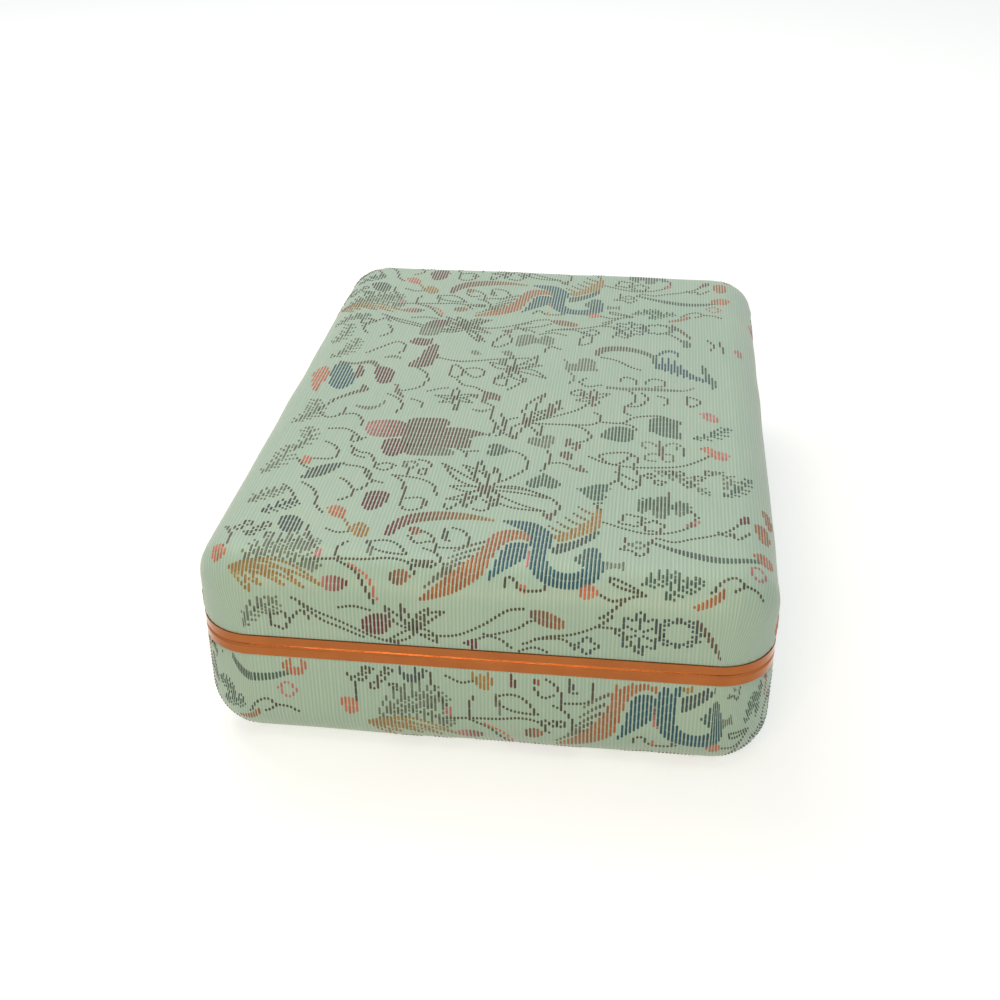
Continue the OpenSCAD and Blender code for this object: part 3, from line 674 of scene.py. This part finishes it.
line((-3, 38), (-6, 42), (-2.4, 44))
line((3.4, 24), (5, 28), (8, 26.4))

# %% Sprays at the left front
line((-9.4, -73), (-8.4, -76.6), dye=SLATE)
line((-8.2, -72), (-5.2, -73.4), (-3.8, -77), (-5.4, -79.8), (-10.4, -80.4))
line((-9.8, -72.4), (-9.2, -77), (-7.6, -77.4))
fill((-17.4, -73), (-15.4, -72.8), (-14.6, -75), (-16.6, -76), dye=(PLUM, COPPER))
line((-17, -76.4), (-15, -79.2), (-12.4, -78.2))
line((-14.6, -74), (-12.4, -75.6), (-11, -78.4), (-10.6, -82.4))
line((-13, -81), (-10.2, -82.6), (-8.6, -85), (-8, -88))
for u in (-14.4, -12.4, -10.8):
    blossom((u, -86.2), 0.9, 4)
leaf((-25.4, -80), (-16.2, -84), 4.4, 0.6)
ribbon((-25.6, -79), (-24.6, -82), (-24.2, -85), width=[0.8, 1.6, 0.8], dye=GREY)
line((-38, -87), (-31, -86.3), (-25, -86), (-19.6, -85.3), (-15.6, -86.2), (-13.8, -89))
line((-31, -86.6), (-26.6, -89), (-24.4, -92), (-22, -96))
line((-28, -87.4), (-23.6, -90.4), (-21.6, -95), dye=CORAL)
spray([(-51.6, -88.6), (-46.6, -83), (-41, -80.8), (-36.4, -83)], 4.2, 13, 62, GREY)
spray([(-50, -86.4), (-44, -85.4), (-38, -86.6), (-35, -89)], 2.6, 10, 60, GREY)
fill((-36.4, -84), (-34.8, -83.6), (-34.6, -86), (-36, -86), dye=ROSE)
F7 = (-54.0, -89.4)
flower(F7, [(-10, 9, 0.7), (-16, 12.6, 1.4), (-13, 17, 2.2), (-9, 21, 2.6), (-28, 8, 0.6), (-48, 7.4, 0.6)],
       width=1.7, dye=GOLD)
for i in range(6):
    blossom((-55 + 1.5 * i, -77 + 2.4 * math.sin(2.1 * i)), 1.0, 4, turn=0.5 * i)
line((-58, -76), (-56, -80), (-56.4, -84))
line((-30, -80), (-31.4, -83), (-31, -86))
line((-36, -75), (-33, -76.6), (-30.6, -76))
line((-40, -74), (-39, -78), (-36, -83.6))

# %% The lid's front wall
fill((-25.4, -101), (-23, -98.6), (-19.6, -98.4), (-18.8, -101.4), (-20.6, -103.6), (-24, -103.4), dye=PLUM)
F8 = (-13.4, -101.6)
flower(F8, [(140, 8.6, 0.8), (118, 7, 0.5), (38, 8.2, 0.8), (60, 6.6, 0.5), (-34, 6, 0.5), (-150, 7, 0.5)],
       width=1.9)
line((-39.6, -95.6), (-35, -98.6), (-29.6, -101), (-22, -104.6), (-15, -106))
line((-38, -97), (-34, -100.6), (-30, -102.4), (-25, -104.6))
line((-40.4, -101), (-38, -98.6), (-36.4, -101))
blossom((-43, -101.6), 2.2, 5)
spray([(-52, -104), (-48, -99), (-43, -96.6)], 2.8, 8, 55, GREY)
line((-30, -97.4), (-26.6, -96.8), (-23, -97.6))
line((-12, -103), (-5, -102.6), (1, -99.4), (6, -95.6), (9.6, -94.8))
line((-2.6, -104.4), (2, -102.2), (8, -100), (11, -97.6))
fill((-2.4, -104), (-1, -103.2), (0.4, -105), (-1.4, -106), dye=PLUM)
fill((10.6, -95.4), (14.4, -95), (18.6, -97.4), (17.4, -99.4), (13, -98.4), dye=(BROWN, COPPER))
line((10, -103.6), (14, -101.6), (20, -100.4), (25, -98), (28.6, -95))
line((1, -101.6), (5, -103), (7, -105))
line((12, -102.2), (18, -101.8), (21, -104.4))
blossom((23.2, -103), 2.0, 4, dye=SLATE)
line((8, -106), (12, -104.4), (16, -106))
blossom((34, -99), 4.6, 8, dye=SLATE)
for i in range(6):
    a = math.pi * i / 3 + 0.5
    spoke = (math.cos(a), math.sin(a))
    line((34 + spoke[0], -99 + spoke[1]), (34 + 3.8 * spoke[0], -99 + 3.8 * spoke[1]), dye=SLATE)
blossom((42, -98.4), 3.4, 12, dye=SLATE, wide=1.35)
line((26, -98), (30, -98.6), (33, -102.6), (34.6, -104.4))
ribbon((45.6, -95), (48.4, -99), (51.6, -104.6), width=[1.2, 1.5, 1], dye=BROWN)
print("shapes in the whole pattern:", len(design))

# %% [markdown]
# ## The loom
# In this silk the coloured pattern threads float over the ground between pale binding ribs 0.84 mm
# apart. A filled shape is a row of short bars, one in each gap, and an outline is a row of dots. So a
# shape drawn on the cloth is cut gap by gap into floats, and one modelled float is laid in each place.

# %% Cutting shapes into floats
RIB = 0.84  # spacing of the binding ribs, mm
FLOAT_WIDTH = 0.52
FLOAT_HEIGHT = 0.15
LONGEST = 2.6  # a longer float is tied down on its way


def floats_of_line(points):
    steps = np.linalg.norm(np.diff(points, axis=0), axis=1)
    along = np.concatenate([[0], np.cumsum(steps)])
    fine = np.arange(0, along[-1], 0.1)
    u, v = np.interp(fine, along, points[:, 0]), np.interp(fine, along, points[:, 1])
    gap = np.floor(u / RIB).astype(int)
    for run in np.split(np.arange(len(gap)), np.flatnonzero(np.diff(gap)) + 1):
        middle, half = (v[run].min() + v[run].max()) / 2, np.ptp(v[run]) / 2 + 0.12
        yield gap[run[0]], middle - max(half, 0.33), middle + max(half, 0.33)


def floats_of_fill(points, every):
    ring = np.vstack([points, points[:1]])
    start, end = ring[:-1], ring[1:]
    for gap in range(int(points[:, 0].min() // RIB), int(points[:, 0].max() // RIB) + 1):
        if gap % every:
            continue
        u = (gap + 0.5) * RIB
        meets = (start[:, 0] <= u) != (end[:, 0] <= u)
        a, b = start[meets], end[meets]
        v = np.sort(a[:, 1] + (u - a[:, 0]) / (b[:, 0] - a[:, 0]) * (b[:, 1] - a[:, 1]))
        for low, high in zip(v[::2], v[1::2]):
            if high - low > 0.3:
                yield gap, low, high


def weave(form, shifts):
    """All floats on one cloth, as rows of u, low v, high v, red, green, blue."""
    chance = random.Random(7)
    rows = []
    for shift in shifts:
        for kind, outline, dye, every in design:
            points = outline + np.array(shift)
            away = np.abs(points) - CENTRES
            if away.min(axis=0).max() > form.reach:
                continue
            first, last = [linear(d)[:3] for d in (dye if isinstance(dye, tuple) else (dye, dye))]
            left, width = points[:, 0].min(), max(np.ptp(points[:, 0]), 1)
            found = floats_of_line(points) if kind == "line" else floats_of_fill(points, every)
            for gap, low, high in found:
                u = (gap + 0.5) * RIB
                share = min(max((u - left) / width, 0), 1)
                pieces = max(1, math.ceil((high - low) / LONGEST))
                for i in range(pieces):
                    a, b = [low + (high - low) * (i + k) / pieces for k in (0, 1)]
                    tone = chance.uniform(0.82, 1.18)
                    rows.append([u, a, b, *[(p + (q - p) * share) * tone for p, q in zip(first, last)]])
    rows = np.array(rows)
    ends = np.vstack([rows[:, :2], rows[:, [0, 2]]])
    out = np.linalg.norm(ends - np.clip(ends, -CENTRES, CENTRES), axis=1).reshape(2, -1).max(axis=0)
    return rows[out < form.reach - 0.3]


# %% One float
bpy.ops.object.select_all(action="DESELECT")
bpy.ops.mesh.primitive_cylinder_add(vertices=6, radius=1, depth=1, end_fill_type="NGON")
pattern_float = bpy.context.object
bpy.ops.object.mode_set(mode="EDIT")
bpy.ops.mesh.select_all(action="SELECT")
bpy.ops.mesh.bisect(plane_co=(0, 0, 0), plane_no=(0, 1, 0), use_fill=True, clear_inner=True)
for height in (-0.38, 0, 0.38):
    bpy.ops.mesh.select_all(action="SELECT")
    bpy.ops.mesh.bisect(plane_co=(0, 0, height), plane_no=(0, 0, 1))
bpy.ops.mesh.select_all(action="SELECT")
bpy.ops.mesh.quads_convert_to_tris()
bpy.ops.object.mode_set(mode="OBJECT")
stitch = np.array([vertex.co for vertex in pattern_float.data.vertices])
stitch_faces = np.array([face.vertices[:] for face in pattern_float.data.polygons])
bpy.data.objects.remove(pattern_float)
taper = np.where(np.abs(stitch[:, 2]) > 0.45, 0.35, 1.0)
stitch_u = stitch[:, 0] / np.abs(stitch[:, 0]).max() * np.where(taper < 1, 0.62, 1.0)
stitch_lift = stitch[:, 1] / stitch[:, 1].max() * taper
stitch_v = stitch[:, 2] + 0.5
print("one float:", len(stitch), "points,", len(stitch_faces), "triangles")


def lay_floats(name, rows, form, body):
    count, points = len(rows), len(stitch)
    u = rows[:, 0, None] + stitch_u[None] * FLOAT_WIDTH / 2
    v = rows[:, 1, None] + (rows[:, 2] - rows[:, 1])[:, None] * stitch_v[None]
    lift = np.broadcast_to(stitch_lift * FLOAT_HEIGHT - 0.03, u.shape)
    places = fold(np.column_stack([u.ravel(), v.ravel()]), form, lift.ravel())
    faces = (stitch_faces[None] + points * np.arange(count)[:, None, None]).reshape(-1, 3)
    mesh = bpy.data.meshes.new(name)
    mesh.from_pydata(places.tolist(), [], faces.tolist())
    colours = np.ones((count, points, 4))
    colours[:, :, :3] = rows[:, None, 3:6]
    mesh.color_attributes.new("dye", "FLOAT_COLOR", "POINT").data.foreach_set("color", colours.ravel())
    threads = bpy.data.objects.new(name, mesh)
    scene.collection.objects.link(threads)
    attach(threads, body)
    print(name, count, "floats,", len(mesh.polygons), "triangles")
    return threads

# %% Weaving both cloths
REPEAT_U, REPEAT_V, STEP_U = 130.0, 142.0, -7.0  # the pattern repeats this far apart on the cloth, mm
lid_shifts = [(i * REPEAT_U + j * STEP_U, j * REPEAT_V) for i in (-1, 0, 1) for j in (0, 1)]
BASE_SHIFT = (29.0, 185.5)  # where the base cloth was cut from the same length of silk
base_shifts = [(BASE_SHIFT[0] + i * REPEAT_U + j * STEP_U, BASE_SHIFT[1] + j * REPEAT_V)
               for i in (-2, -1, 0, 1) for j in (0, -1, -2)]
lid_rows = weave(lid_form, lid_shifts)
base_rows = weave(base_form, base_shifts)


def in_lots(name, rows, form, body, most=4500):
    lots = np.array_split(rows, math.ceil(len(rows) / most))
    return [lay_floats(f"{name}_{i + 1}", lot, form, body) for i, lot in enumerate(lots)]


lid_threads = in_lots("lid_pattern_threads", lid_rows, lid_form, "lid")
base_threads = in_lots("base_pattern_threads", base_rows, base_form, "base")

# %% [markdown]
# ## The satin lining
# Both halves are lined with cream satin glued to thin card. A liner is pulled into its half just as a
# cover is pulled over it, so the same function cuts and folds it, with its thickness on the other side.
# The rims' inner legs hide its raw edge.

# %% Satin linings
LINING_CORNER = 9.7  # plan corner radius of the room inside, mm
LINING = 0.28  # satin with its glue, mm
base_room = Form(LINING_CORNER, 8.7, 3.3, -1, 27.7, 0.0, 0.018)
lid_room = Form(LINING_CORNER, 5.6, 44.0, 1, 29.3, 0.0, 0.018)
linings = []
for body, room in (("base", base_room), ("lid", lid_room)):
    lining = cut_sheet(body + "_satin_lining", room, LINING, True)
    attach(lining, body)
    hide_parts(body + "_liner_satin")
    linings.append(lining)

# %% [markdown]
# ## The wadding
# A layer of polyester wadding under the cloth rounds the lid's top edge. It is hidden, but it belongs to
# the case, and it is the same kind of folded sheet, thicker and ending part of the way round the bend.

# %% Wadding
wadding_form = Form(12.05, 8.05, 48.05, 1, 46.5, 0.0, 0.018)
wadding_form.reach = 4.0 + 8.05 * 0.75
wadding = cut_sheet("lid_wadding_layer", wadding_form, 1.1, False)
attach(wadding, "lid")
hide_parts("lid_wadding")

# %% [markdown]
# ## The pads
# A slab of foam wrapped in satin lies in the base, and another is glued up in the lid. Each starts as a
# cube with its upright edges rounded to the corners, its glued edge bevelled to clear the lining's curve
# and its face softened. It is bisected into a grid, and a short cloth simulation with a little pressure
# inside swells the face, while the glued side is pinned. A cap keeps the swelling to what foam does.

# %% Foam slabs in satin
GRID = 4.0  # cell of the pads' mesh, mm


def edges_where(obj, wanted):
    """Select the edges whose two ends, in mm, both satisfy a test."""
    bpy.ops.object.mode_set(mode="OBJECT")
    bpy.context.tool_settings.mesh_select_mode = (False, True, False)
    points = [vertex.co / MM for vertex in obj.data.vertices]
    for item in (*obj.data.polygons, *obj.data.edges, *obj.data.vertices):
        item.select = False
    for edge in obj.data.edges:
        edge.select = bool(wanted(*[points[i] for i in edge.vertices]))
    bpy.ops.object.mode_set(mode="EDIT")


def foam_slab(name, reach, foot, face, glued_bevel, soft_bevel):
    """A rounded slab from its glued foot to its face, both heights in mm."""
    half = CENTRES + reach
    bpy.ops.object.select_all(action="DESELECT")
    bpy.ops.mesh.primitive_cube_add(size=1)
    slab = bpy.context.object
    slab.name = slab.data.name = name
    bpy.ops.object.mode_set(mode="EDIT")
    bpy.ops.transform.resize(value=(2 * half[0] * MM, 2 * half[1] * MM, abs(face - foot) * MM))
    bpy.ops.transform.translate(value=(0, 0, (face + foot) / 2 * MM))
    edges_where(slab, lambda a, b: abs(a.z - b.z) > 1)
    bpy.ops.mesh.bevel(offset=reach * MM, segments=6, affect="EDGES")
    edges_where(slab, lambda a, b: abs(a.z - foot) < 0.01 and abs(b.z - foot) < 0.01)
    bpy.ops.mesh.bevel(offset=glued_bevel * MM, segments=2, affect="EDGES")
    edges_where(slab, lambda a, b: abs(a.z - face) < 0.01 and abs(b.z - face) < 0.01)
    bpy.ops.mesh.bevel(offset=soft_bevel * MM, segments=2, affect="EDGES")
    for axis, normal in ((0, (1, 0, 0)), (1, (0, 1, 0))):
        count = int(CENTRES[axis] / GRID)
        for place in np.linspace(-CENTRES[axis], CENTRES[axis], 2 * count + 1):
            bpy.ops.mesh.select_all(action="SELECT")
            bpy.ops.mesh.bisect(plane_co=[place * MM * n for n in normal], plane_no=normal)
    bpy.ops.object.mode_set(mode="OBJECT")
    return slab


# %% Swelling them
PRESSURE = 4.0


def swell(slab, foot, face, cap):
    """Cloth simulation with pressure inside; no point of the face rises by more than cap mm."""
    before = np.zeros(len(slab.data.vertices) * 3)
    slab.data.vertices.foreach_get("co", before)
    before = before.reshape(-1, 3)
    pinned = slab.vertex_groups.new(name="glued")
    share = np.abs(before[:, 2] / MM - foot) / abs(face - foot)
    pinned.add([i for i in range(len(share)) if share[i] < 0.5], 1.0, "REPLACE")
    pick_up(slab)
    cloth = slab.modifiers.new("swell", "CLOTH")
    cloth.settings.use_pressure = True
    cloth.settings.uniform_pressure_force = PRESSURE
    cloth.settings.vertex_group_mass = "glued"
    cloth.settings.shrink_min = -0.02
    cloth.settings.effector_weights.gravity = 0
    for number in range(1, 21):
        scene.frame_set(number)
    bpy.ops.object.modifier_apply(modifier=cloth.name)
    scene.frame_set(1)
    after = np.zeros(len(before) * 3)
    slab.data.vertices.foreach_get("co", after)
    moved = after.reshape(-1, 3) - before
    far = np.linalg.norm(moved, axis=1)
    kept = cap * MM * np.tanh(far / (cap * MM))
    places = before + moved * (kept / np.maximum(far, 1e-12))[:, None]
    slab.data.vertices.foreach_set("co", places.ravel())
    slab.vertex_groups.clear()
    print(slab.name, "swelled by up to", round(far.max() / MM, 2), "mm, kept to", round(kept.max() / MM, 2))


pads = []
for body, name, reach, foot, face, glued_bevel, soft_bevel, cap in (
    ("base", "floor", 7.7, 4.52, 9.1, 3.0, 1.2, 1.05),
    ("lid", "lid", 8.2, 42.78, 39.2, 1.5, 1.1, 0.95),
):
    pad = foam_slab(name + "_pad_in_satin", reach, foot, face, glued_bevel, soft_bevel)
    swell(pad, foot, face, cap)
    pick_up(pad)
    smooth = pad.modifiers.new("smooth", "SUBSURF")
    smooth.levels = smooth.render_levels = 1
    bpy.ops.object.modifier_apply(modifier=smooth.name)
    bpy.ops.object.shade_smooth()
    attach(pad, body)
    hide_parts(name + "_pad_satin", name + "_pad_foam")
    pads.append(pad)
    print(pad.name, len(pad.data.polygons), "faces")

# %% [markdown]
# ## Piping
# A thin satin-covered cord is pushed into the joint between a pad and its lining. It is a torus of the
# corners' radius, whose four quarters are moved apart to the corners, which stretches its faces there
# into the straight runs.

# %% Piping round the pads
pipings = []
for body, name, reach, height, thick in (("base", "floor", 8.35, 8.7, 1.2), ("lid", "lid", 8.78, 40.3, 1.0)):
    bpy.ops.object.select_all(action="DESELECT")
    bpy.ops.mesh.primitive_torus_add(major_radius=reach * MM, minor_radius=thick / 2 * MM,
                                     major_segments=48, minor_segments=12, rotation=(0, 0, math.pi / 48))
    piping = bpy.context.object
    piping.name = piping.data.name = name + "_pad_piping"
    bpy.ops.object.transform_apply(rotation=True)
    bpy.ops.object.mode_set(mode="EDIT")
    bpy.ops.transform.translate(value=(0, 0, height * MM))
    for axis in (0, 1):
        for side in (-1, 1):
            bpy.ops.object.mode_set(mode="OBJECT")
            bpy.context.tool_settings.mesh_select_mode = (True, False, False)
            for item in (*piping.data.polygons, *piping.data.edges):
                item.select = False
            for vertex in piping.data.vertices:
                vertex.select = vertex.co[axis] * side > 0
            bpy.ops.object.mode_set(mode="EDIT")
            move = [0.0, 0.0, 0.0]
            move[axis] = side * CENTRES[axis] * MM
            bpy.ops.transform.translate(value=move)
    bpy.ops.object.mode_set(mode="OBJECT")
    bpy.ops.object.shade_smooth()
    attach(piping, body)
    pipings.append(piping)
    print(piping.name, "thickness, mm:", thick)

# %% [markdown]
# ## The silk
# The ground is a finely ribbed silk in mint green. Its ribs and weft picks could be modelled, but there are
# thousands, so colour and bump draw them, counted in the cloth's own flat millimetres, which keeps them in
# step with the threads round every bend. A slow cloud of a second green stands for the shot effect of the
# two yarns, stretched noise gives the slubs, and a soft sheen the bloom of silk. The pattern yarn is flat
# viscose with a metallic core: each float carries its own dye, and its half-metal gloss makes it glint.

# %% Woven silk ground
PICK = 0.36  # spacing of the weft picks, mm, drawn a little coarser than the real 0.2 so that it shows
silk, tree = new_finish("woven silk brocade ground")
place = add_node(tree, "ShaderNodeAttribute", attribute_name="cloth_mm")
split = add_node(tree, "ShaderNodeSeparateXYZ", {0: place.outputs["Vector"]})
wave = {}
for name, axis, spacing in (("rib", "X", RIB), ("pick", "Y", PICK)):
    turns = add_node(tree, "ShaderNodeMath", {0: split.outputs[axis], 1: 2 * math.pi / spacing},
                     operation="MULTIPLY")
    crest = add_node(tree, "ShaderNodeMath", {0: turns.outputs[0]}, operation="COSINE")
    crest = add_node(tree, "ShaderNodeMath", {0: crest.outputs[0], 1: 0.5, 2: 0.5},
                     operation="MULTIPLY_ADD")
    wave[name] = crest.outputs[0]
stretch = add_node(tree, "ShaderNodeMapping", {"Vector": place.outputs["Vector"], "Scale": (1.6, 0.05, 1)})
slub = add_node(tree, "ShaderNodeTexNoise", {"Vector": stretch.outputs[0], "Scale": 1.0, "Detail": 4.0})
cloud = add_node(tree, "ShaderNodeTexNoise",
                 {"Vector": place.outputs["Vector"], "Scale": 0.03, "Detail": 2.0})
ground = add_node(tree, "ShaderNodeMix",
                  {"Factor": cloud.outputs["Fac"], "A": linear("#9fc4b4"), "B": linear("#b3cfb9")},
                  data_type="RGBA")
rib = add_node(tree, "ShaderNodeMath", {0: wave["rib"], 1: 2.0}, operation="POWER")
rib = add_node(tree, "ShaderNodeMath", {0: rib.outputs[0], 1: slub.outputs["Fac"]}, operation="MULTIPLY")
ground = add_node(tree, "ShaderNodeMix",
                  {"Factor": rib.outputs[0], "A": ground.outputs["Result"], "B": linear("#dbe6d6")},
                  data_type="RGBA")
relief = add_node(tree, "ShaderNodeMath", {0: wave["pick"], 1: 0.22, 2: wave["rib"]},
                  operation="MULTIPLY_ADD")
relief = add_node(tree, "ShaderNodeMath", {0: slub.outputs["Fac"], 1: 0.6, 2: relief.outputs[0]},
                  operation="MULTIPLY_ADD")
bump = add_node(tree, "ShaderNodeBump",
                {"Height": relief.outputs[0], "Strength": 0.6, "Distance": 0.08 * MM})
shade = add_node(tree, "ShaderNodeBsdfPrincipled", {
    "Base Color": ground.outputs["Result"], "Roughness": 0.42, "Normal": bump.outputs[0],
    "Sheen Weight": 0.25, "Sheen Roughness": 0.4, "Sheen Tint": linear("#fff4dc"), "Specular IOR Level": 0.6,
})
add_node(tree, "ShaderNodeOutputMaterial", {"Surface": shade.outputs[0]})
for cloth in (lid_cloth, base_cloth):
    cloth.data.materials.append(silk)

# %% Pattern threads
yarn, tree = new_finish("metallic viscose pattern yarn")
dye = add_node(tree, "ShaderNodeAttribute", attribute_name="dye")
shade = add_node(tree, "ShaderNodeBsdfPrincipled", {
    "Base Color": dye.outputs["Color"], "Metallic": 0.45, "Roughness": 0.34, "Specular IOR Level": 0.6,
})
add_node(tree, "ShaderNodeOutputMaterial", {"Surface": shade.outputs[0]})
for threads in lid_threads + base_threads:
    threads.data.materials.append(yarn)

# %% [markdown]
# ## The metal
# The rims are brass sheet, folded, bevelled, polished and lacquered in rose gold. Their tint is painted
# shade: it is made far deeper than the metal's own colour, so that the white room it mirrors renders as
# dark copper, and a faint uneven polish breaks up the reflections. The hinge pin is plain drawn brass,
# the catch is rolled spring steel.

# %% Rose-gold rims
rose_gold, tree = new_finish("lacquered rose-gold brass")
place = add_node(tree, "ShaderNodeTexCoord")
draw = add_node(tree, "ShaderNodeMapping", {"Vector": place.outputs["Object"], "Scale": (90, 90, 1400)})
streak = add_node(tree, "ShaderNodeTexNoise", {"Vector": draw.outputs[0], "Scale": 1.0, "Detail": 3.0})
rough = add_node(tree, "ShaderNodeMapRange", {
    "Value": streak.outputs["Fac"], "From Min": 0.3, "From Max": 0.7, "To Min": 0.13, "To Max": 0.24,
})
haze = add_node(tree, "ShaderNodeTexNoise",
                {"Vector": place.outputs["Object"], "Scale": 160.0, "Detail": 2.0})
# painted shade: both tints are much darker than rose-gold metal, standing in for dark mirrored surroundings;
# the haze noise varies them at random
tint = add_node(tree, "ShaderNodeMix", {"Factor": haze.outputs["Fac"], "A": linear("#96521f"),
                                        "B": linear("#ab6430")}, data_type="RGBA")
bump = add_node(tree, "ShaderNodeBump",
                {"Height": streak.outputs["Fac"], "Strength": 0.15, "Distance": 0.02 * MM})
shade = add_node(tree, "ShaderNodeBsdfPrincipled", {
    "Base Color": tint.outputs["Result"], "Metallic": 1.0, "Roughness": rough.outputs[0],
    "Normal": bump.outputs[0], "Coat Weight": 0.3, "Coat Roughness": 0.05,
})
add_node(tree, "ShaderNodeOutputMaterial", {"Surface": shade.outputs[0]})

# %% Drawn brass
brass, tree = new_finish("drawn brass rod")
place = add_node(tree, "ShaderNodeTexCoord")
draw = add_node(tree, "ShaderNodeMapping", {"Vector": place.outputs["Object"], "Scale": (60, 3000, 3000)})
line_noise = add_node(tree, "ShaderNodeTexNoise", {"Vector": draw.outputs[0], "Scale": 1.0, "Detail": 2.0})
tint = add_node(tree, "ShaderNodeMix", {"Factor": line_noise.outputs["Fac"], "A": linear("#b08a48"),
                                        "B": linear("#cfab66")}, data_type="RGBA")
shade = add_node(tree, "ShaderNodeBsdfPrincipled", {
    "Base Color": tint.outputs["Result"], "Metallic": 1.0, "Roughness": 0.3,
})
add_node(tree, "ShaderNodeOutputMaterial", {"Surface": shade.outputs[0]})

# %% Spring steel
spring_steel, tree = new_finish("rolled spring steel")
place = add_node(tree, "ShaderNodeTexCoord")
roll = add_node(tree, "ShaderNodeMapping", {"Vector": place.outputs["Object"], "Scale": (4000, 4000, 150)})
grain = add_node(tree, "ShaderNodeTexNoise", {"Vector": roll.outputs[0], "Scale": 1.0, "Detail": 3.0})
rough = add_node(tree, "ShaderNodeMapRange", {"Value": grain.outputs["Fac"], "To Min": 0.2, "To Max": 0.42})
bump = add_node(tree, "ShaderNodeBump",
                {"Height": grain.outputs["Fac"], "Strength": 0.3, "Distance": 0.01 * MM})
shade = add_node(tree, "ShaderNodeBsdfPrincipled", {
    "Base Color": linear("#b4b7ba"), "Metallic": 1.0, "Roughness": rough.outputs[0],
    "Normal": bump.outputs[0],
})
add_node(tree, "ShaderNodeOutputMaterial", {"Surface": shade.outputs[0]})

# %% [markdown]
# ## Satin, board and wadding
# The lining is a cream acetate satin, whose long floats give it a soft stripe and a broad gloss. The
# shells and cards are pressed paper board, dull and flecked with fibres. The wadding is white fluff.

# %% Cream satin
SATIN_TWILL = 0.5  # spacing of the satin's fine diagonal, mm, about twice the real one so that it shows
satin, tree = new_finish("cream acetate satin")
place = add_node(tree, "ShaderNodeTexCoord")
twill_scale = 2 * math.pi / 20 / (SATIN_TWILL * MM)  # the wave texture repeats 20 / 2 pi times a unit
twill = add_node(tree, "ShaderNodeTexWave", {
    "Vector": place.outputs["Object"], "Scale": twill_scale, "Distortion": 1.2, "Detail Scale": 0.4,
}, wave_type="BANDS", bands_direction="DIAGONAL")
soft = add_node(tree, "ShaderNodeTexNoise",
                {"Vector": place.outputs["Object"], "Scale": 55.0, "Detail": 3.0})
tint = add_node(tree, "ShaderNodeMix", {"Factor": soft.outputs["Fac"], "A": linear("#e6d8b9"),
                                        "B": linear("#f1e8d2")}, data_type="RGBA")
relief = add_node(tree, "ShaderNodeMath", {0: soft.outputs["Fac"], 1: 4.0, 2: twill.outputs["Fac"]},
                  operation="MULTIPLY_ADD")
bump = add_node(tree, "ShaderNodeBump",
                {"Height": relief.outputs[0], "Strength": 0.35, "Distance": 0.06 * MM})
rough = add_node(tree, "ShaderNodeMapRange",
                 {"Value": twill.outputs["Fac"], "To Min": 0.32, "To Max": 0.46})
shade = add_node(tree, "ShaderNodeBsdfPrincipled", {
    "Base Color": tint.outputs["Result"], "Roughness": rough.outputs[0], "Normal": bump.outputs[0],
    "Sheen Weight": 0.3, "Sheen Roughness": 0.35, "Sheen Tint": linear("#fff8ea"), "Specular IOR Level": 0.55,
})
add_node(tree, "ShaderNodeOutputMaterial", {"Surface": shade.outputs[0]})

# %% Pressed board
board = {}
for name, dark, light in (
    ("moulded fibre board", "#8b8478", "#a9a294"),
    ("pressed grey card", "#938670", "#b0a48d"),
):
    board[name], tree = new_finish(name)
    place = add_node(tree, "ShaderNodeTexCoord")
    fibre = add_node(tree, "ShaderNodeTexNoise",
                     {"Vector": place.outputs["Object"], "Scale": 900.0, "Detail": 5.0})
    fleck = add_node(tree, "ShaderNodeTexVoronoi", {"Vector": place.outputs["Object"], "Scale": 420.0})
    spots = add_node(tree, "ShaderNodeMapRange", {"Value": fleck.outputs["Distance"], "From Max": 0.35})
    both = add_node(tree, "ShaderNodeMath", {0: fibre.outputs["Fac"], 1: spots.outputs[0]},
                    operation="MULTIPLY")
    tint = add_node(tree, "ShaderNodeMix",
                    {"Factor": both.outputs[0], "A": linear(dark), "B": linear(light)}, data_type="RGBA")
    bump = add_node(tree, "ShaderNodeBump",
                    {"Height": fibre.outputs["Fac"], "Strength": 0.5, "Distance": 0.1 * MM})
    shade = add_node(tree, "ShaderNodeBsdfPrincipled", {
        "Base Color": tint.outputs["Result"], "Roughness": 0.88, "Normal": bump.outputs[0],
    })
    add_node(tree, "ShaderNodeOutputMaterial", {"Surface": shade.outputs[0]})

# %% Polyester wadding
fluff, tree = new_finish("polyester wadding")
place = add_node(tree, "ShaderNodeTexCoord")
tuft = add_node(tree, "ShaderNodeTexNoise",
                {"Vector": place.outputs["Object"], "Scale": 600.0, "Detail": 6.0})
tint = add_node(tree, "ShaderNodeMix", {"Factor": tuft.outputs["Fac"], "A": linear("#e2e0d8"),
                                        "B": linear("#f6f5f1")}, data_type="RGBA")
bump = add_node(tree, "ShaderNodeBump",
                {"Height": tuft.outputs["Fac"], "Strength": 0.8, "Distance": 0.4 * MM})
shade = add_node(tree, "ShaderNodeBsdfPrincipled", {
    "Base Color": tint.outputs["Result"], "Roughness": 0.95, "Normal": bump.outputs[0],
    "Sheen Weight": 0.4, "Sheen Roughness": 0.6,
})
add_node(tree, "ShaderNodeOutputMaterial", {"Surface": shade.outputs[0]})

# %% Giving out the finishes
for piece in linings + pads + pipings:
    piece.data.materials.clear()
    piece.data.materials.append(satin)
wadding.data.materials.append(fluff)
for finish, names in (
    (rose_gold, ("lid_rim", "base_rim")),
    (brass, ("hinge_pin", "catch_rivets")),
    (spring_steel, ("catch_spring",)),
    (board["moulded fibre board"], ("base_shell", "lid_shell")),
    (board["pressed grey card"], ("base_liner_card", "lid_liner_card", "floor_pad_card", "lid_pad_card")),
):
    for name in names:
        nodes[name].data.materials.clear()
        nodes[name].data.materials.append(finish)
        print(name, "is", finish.name)
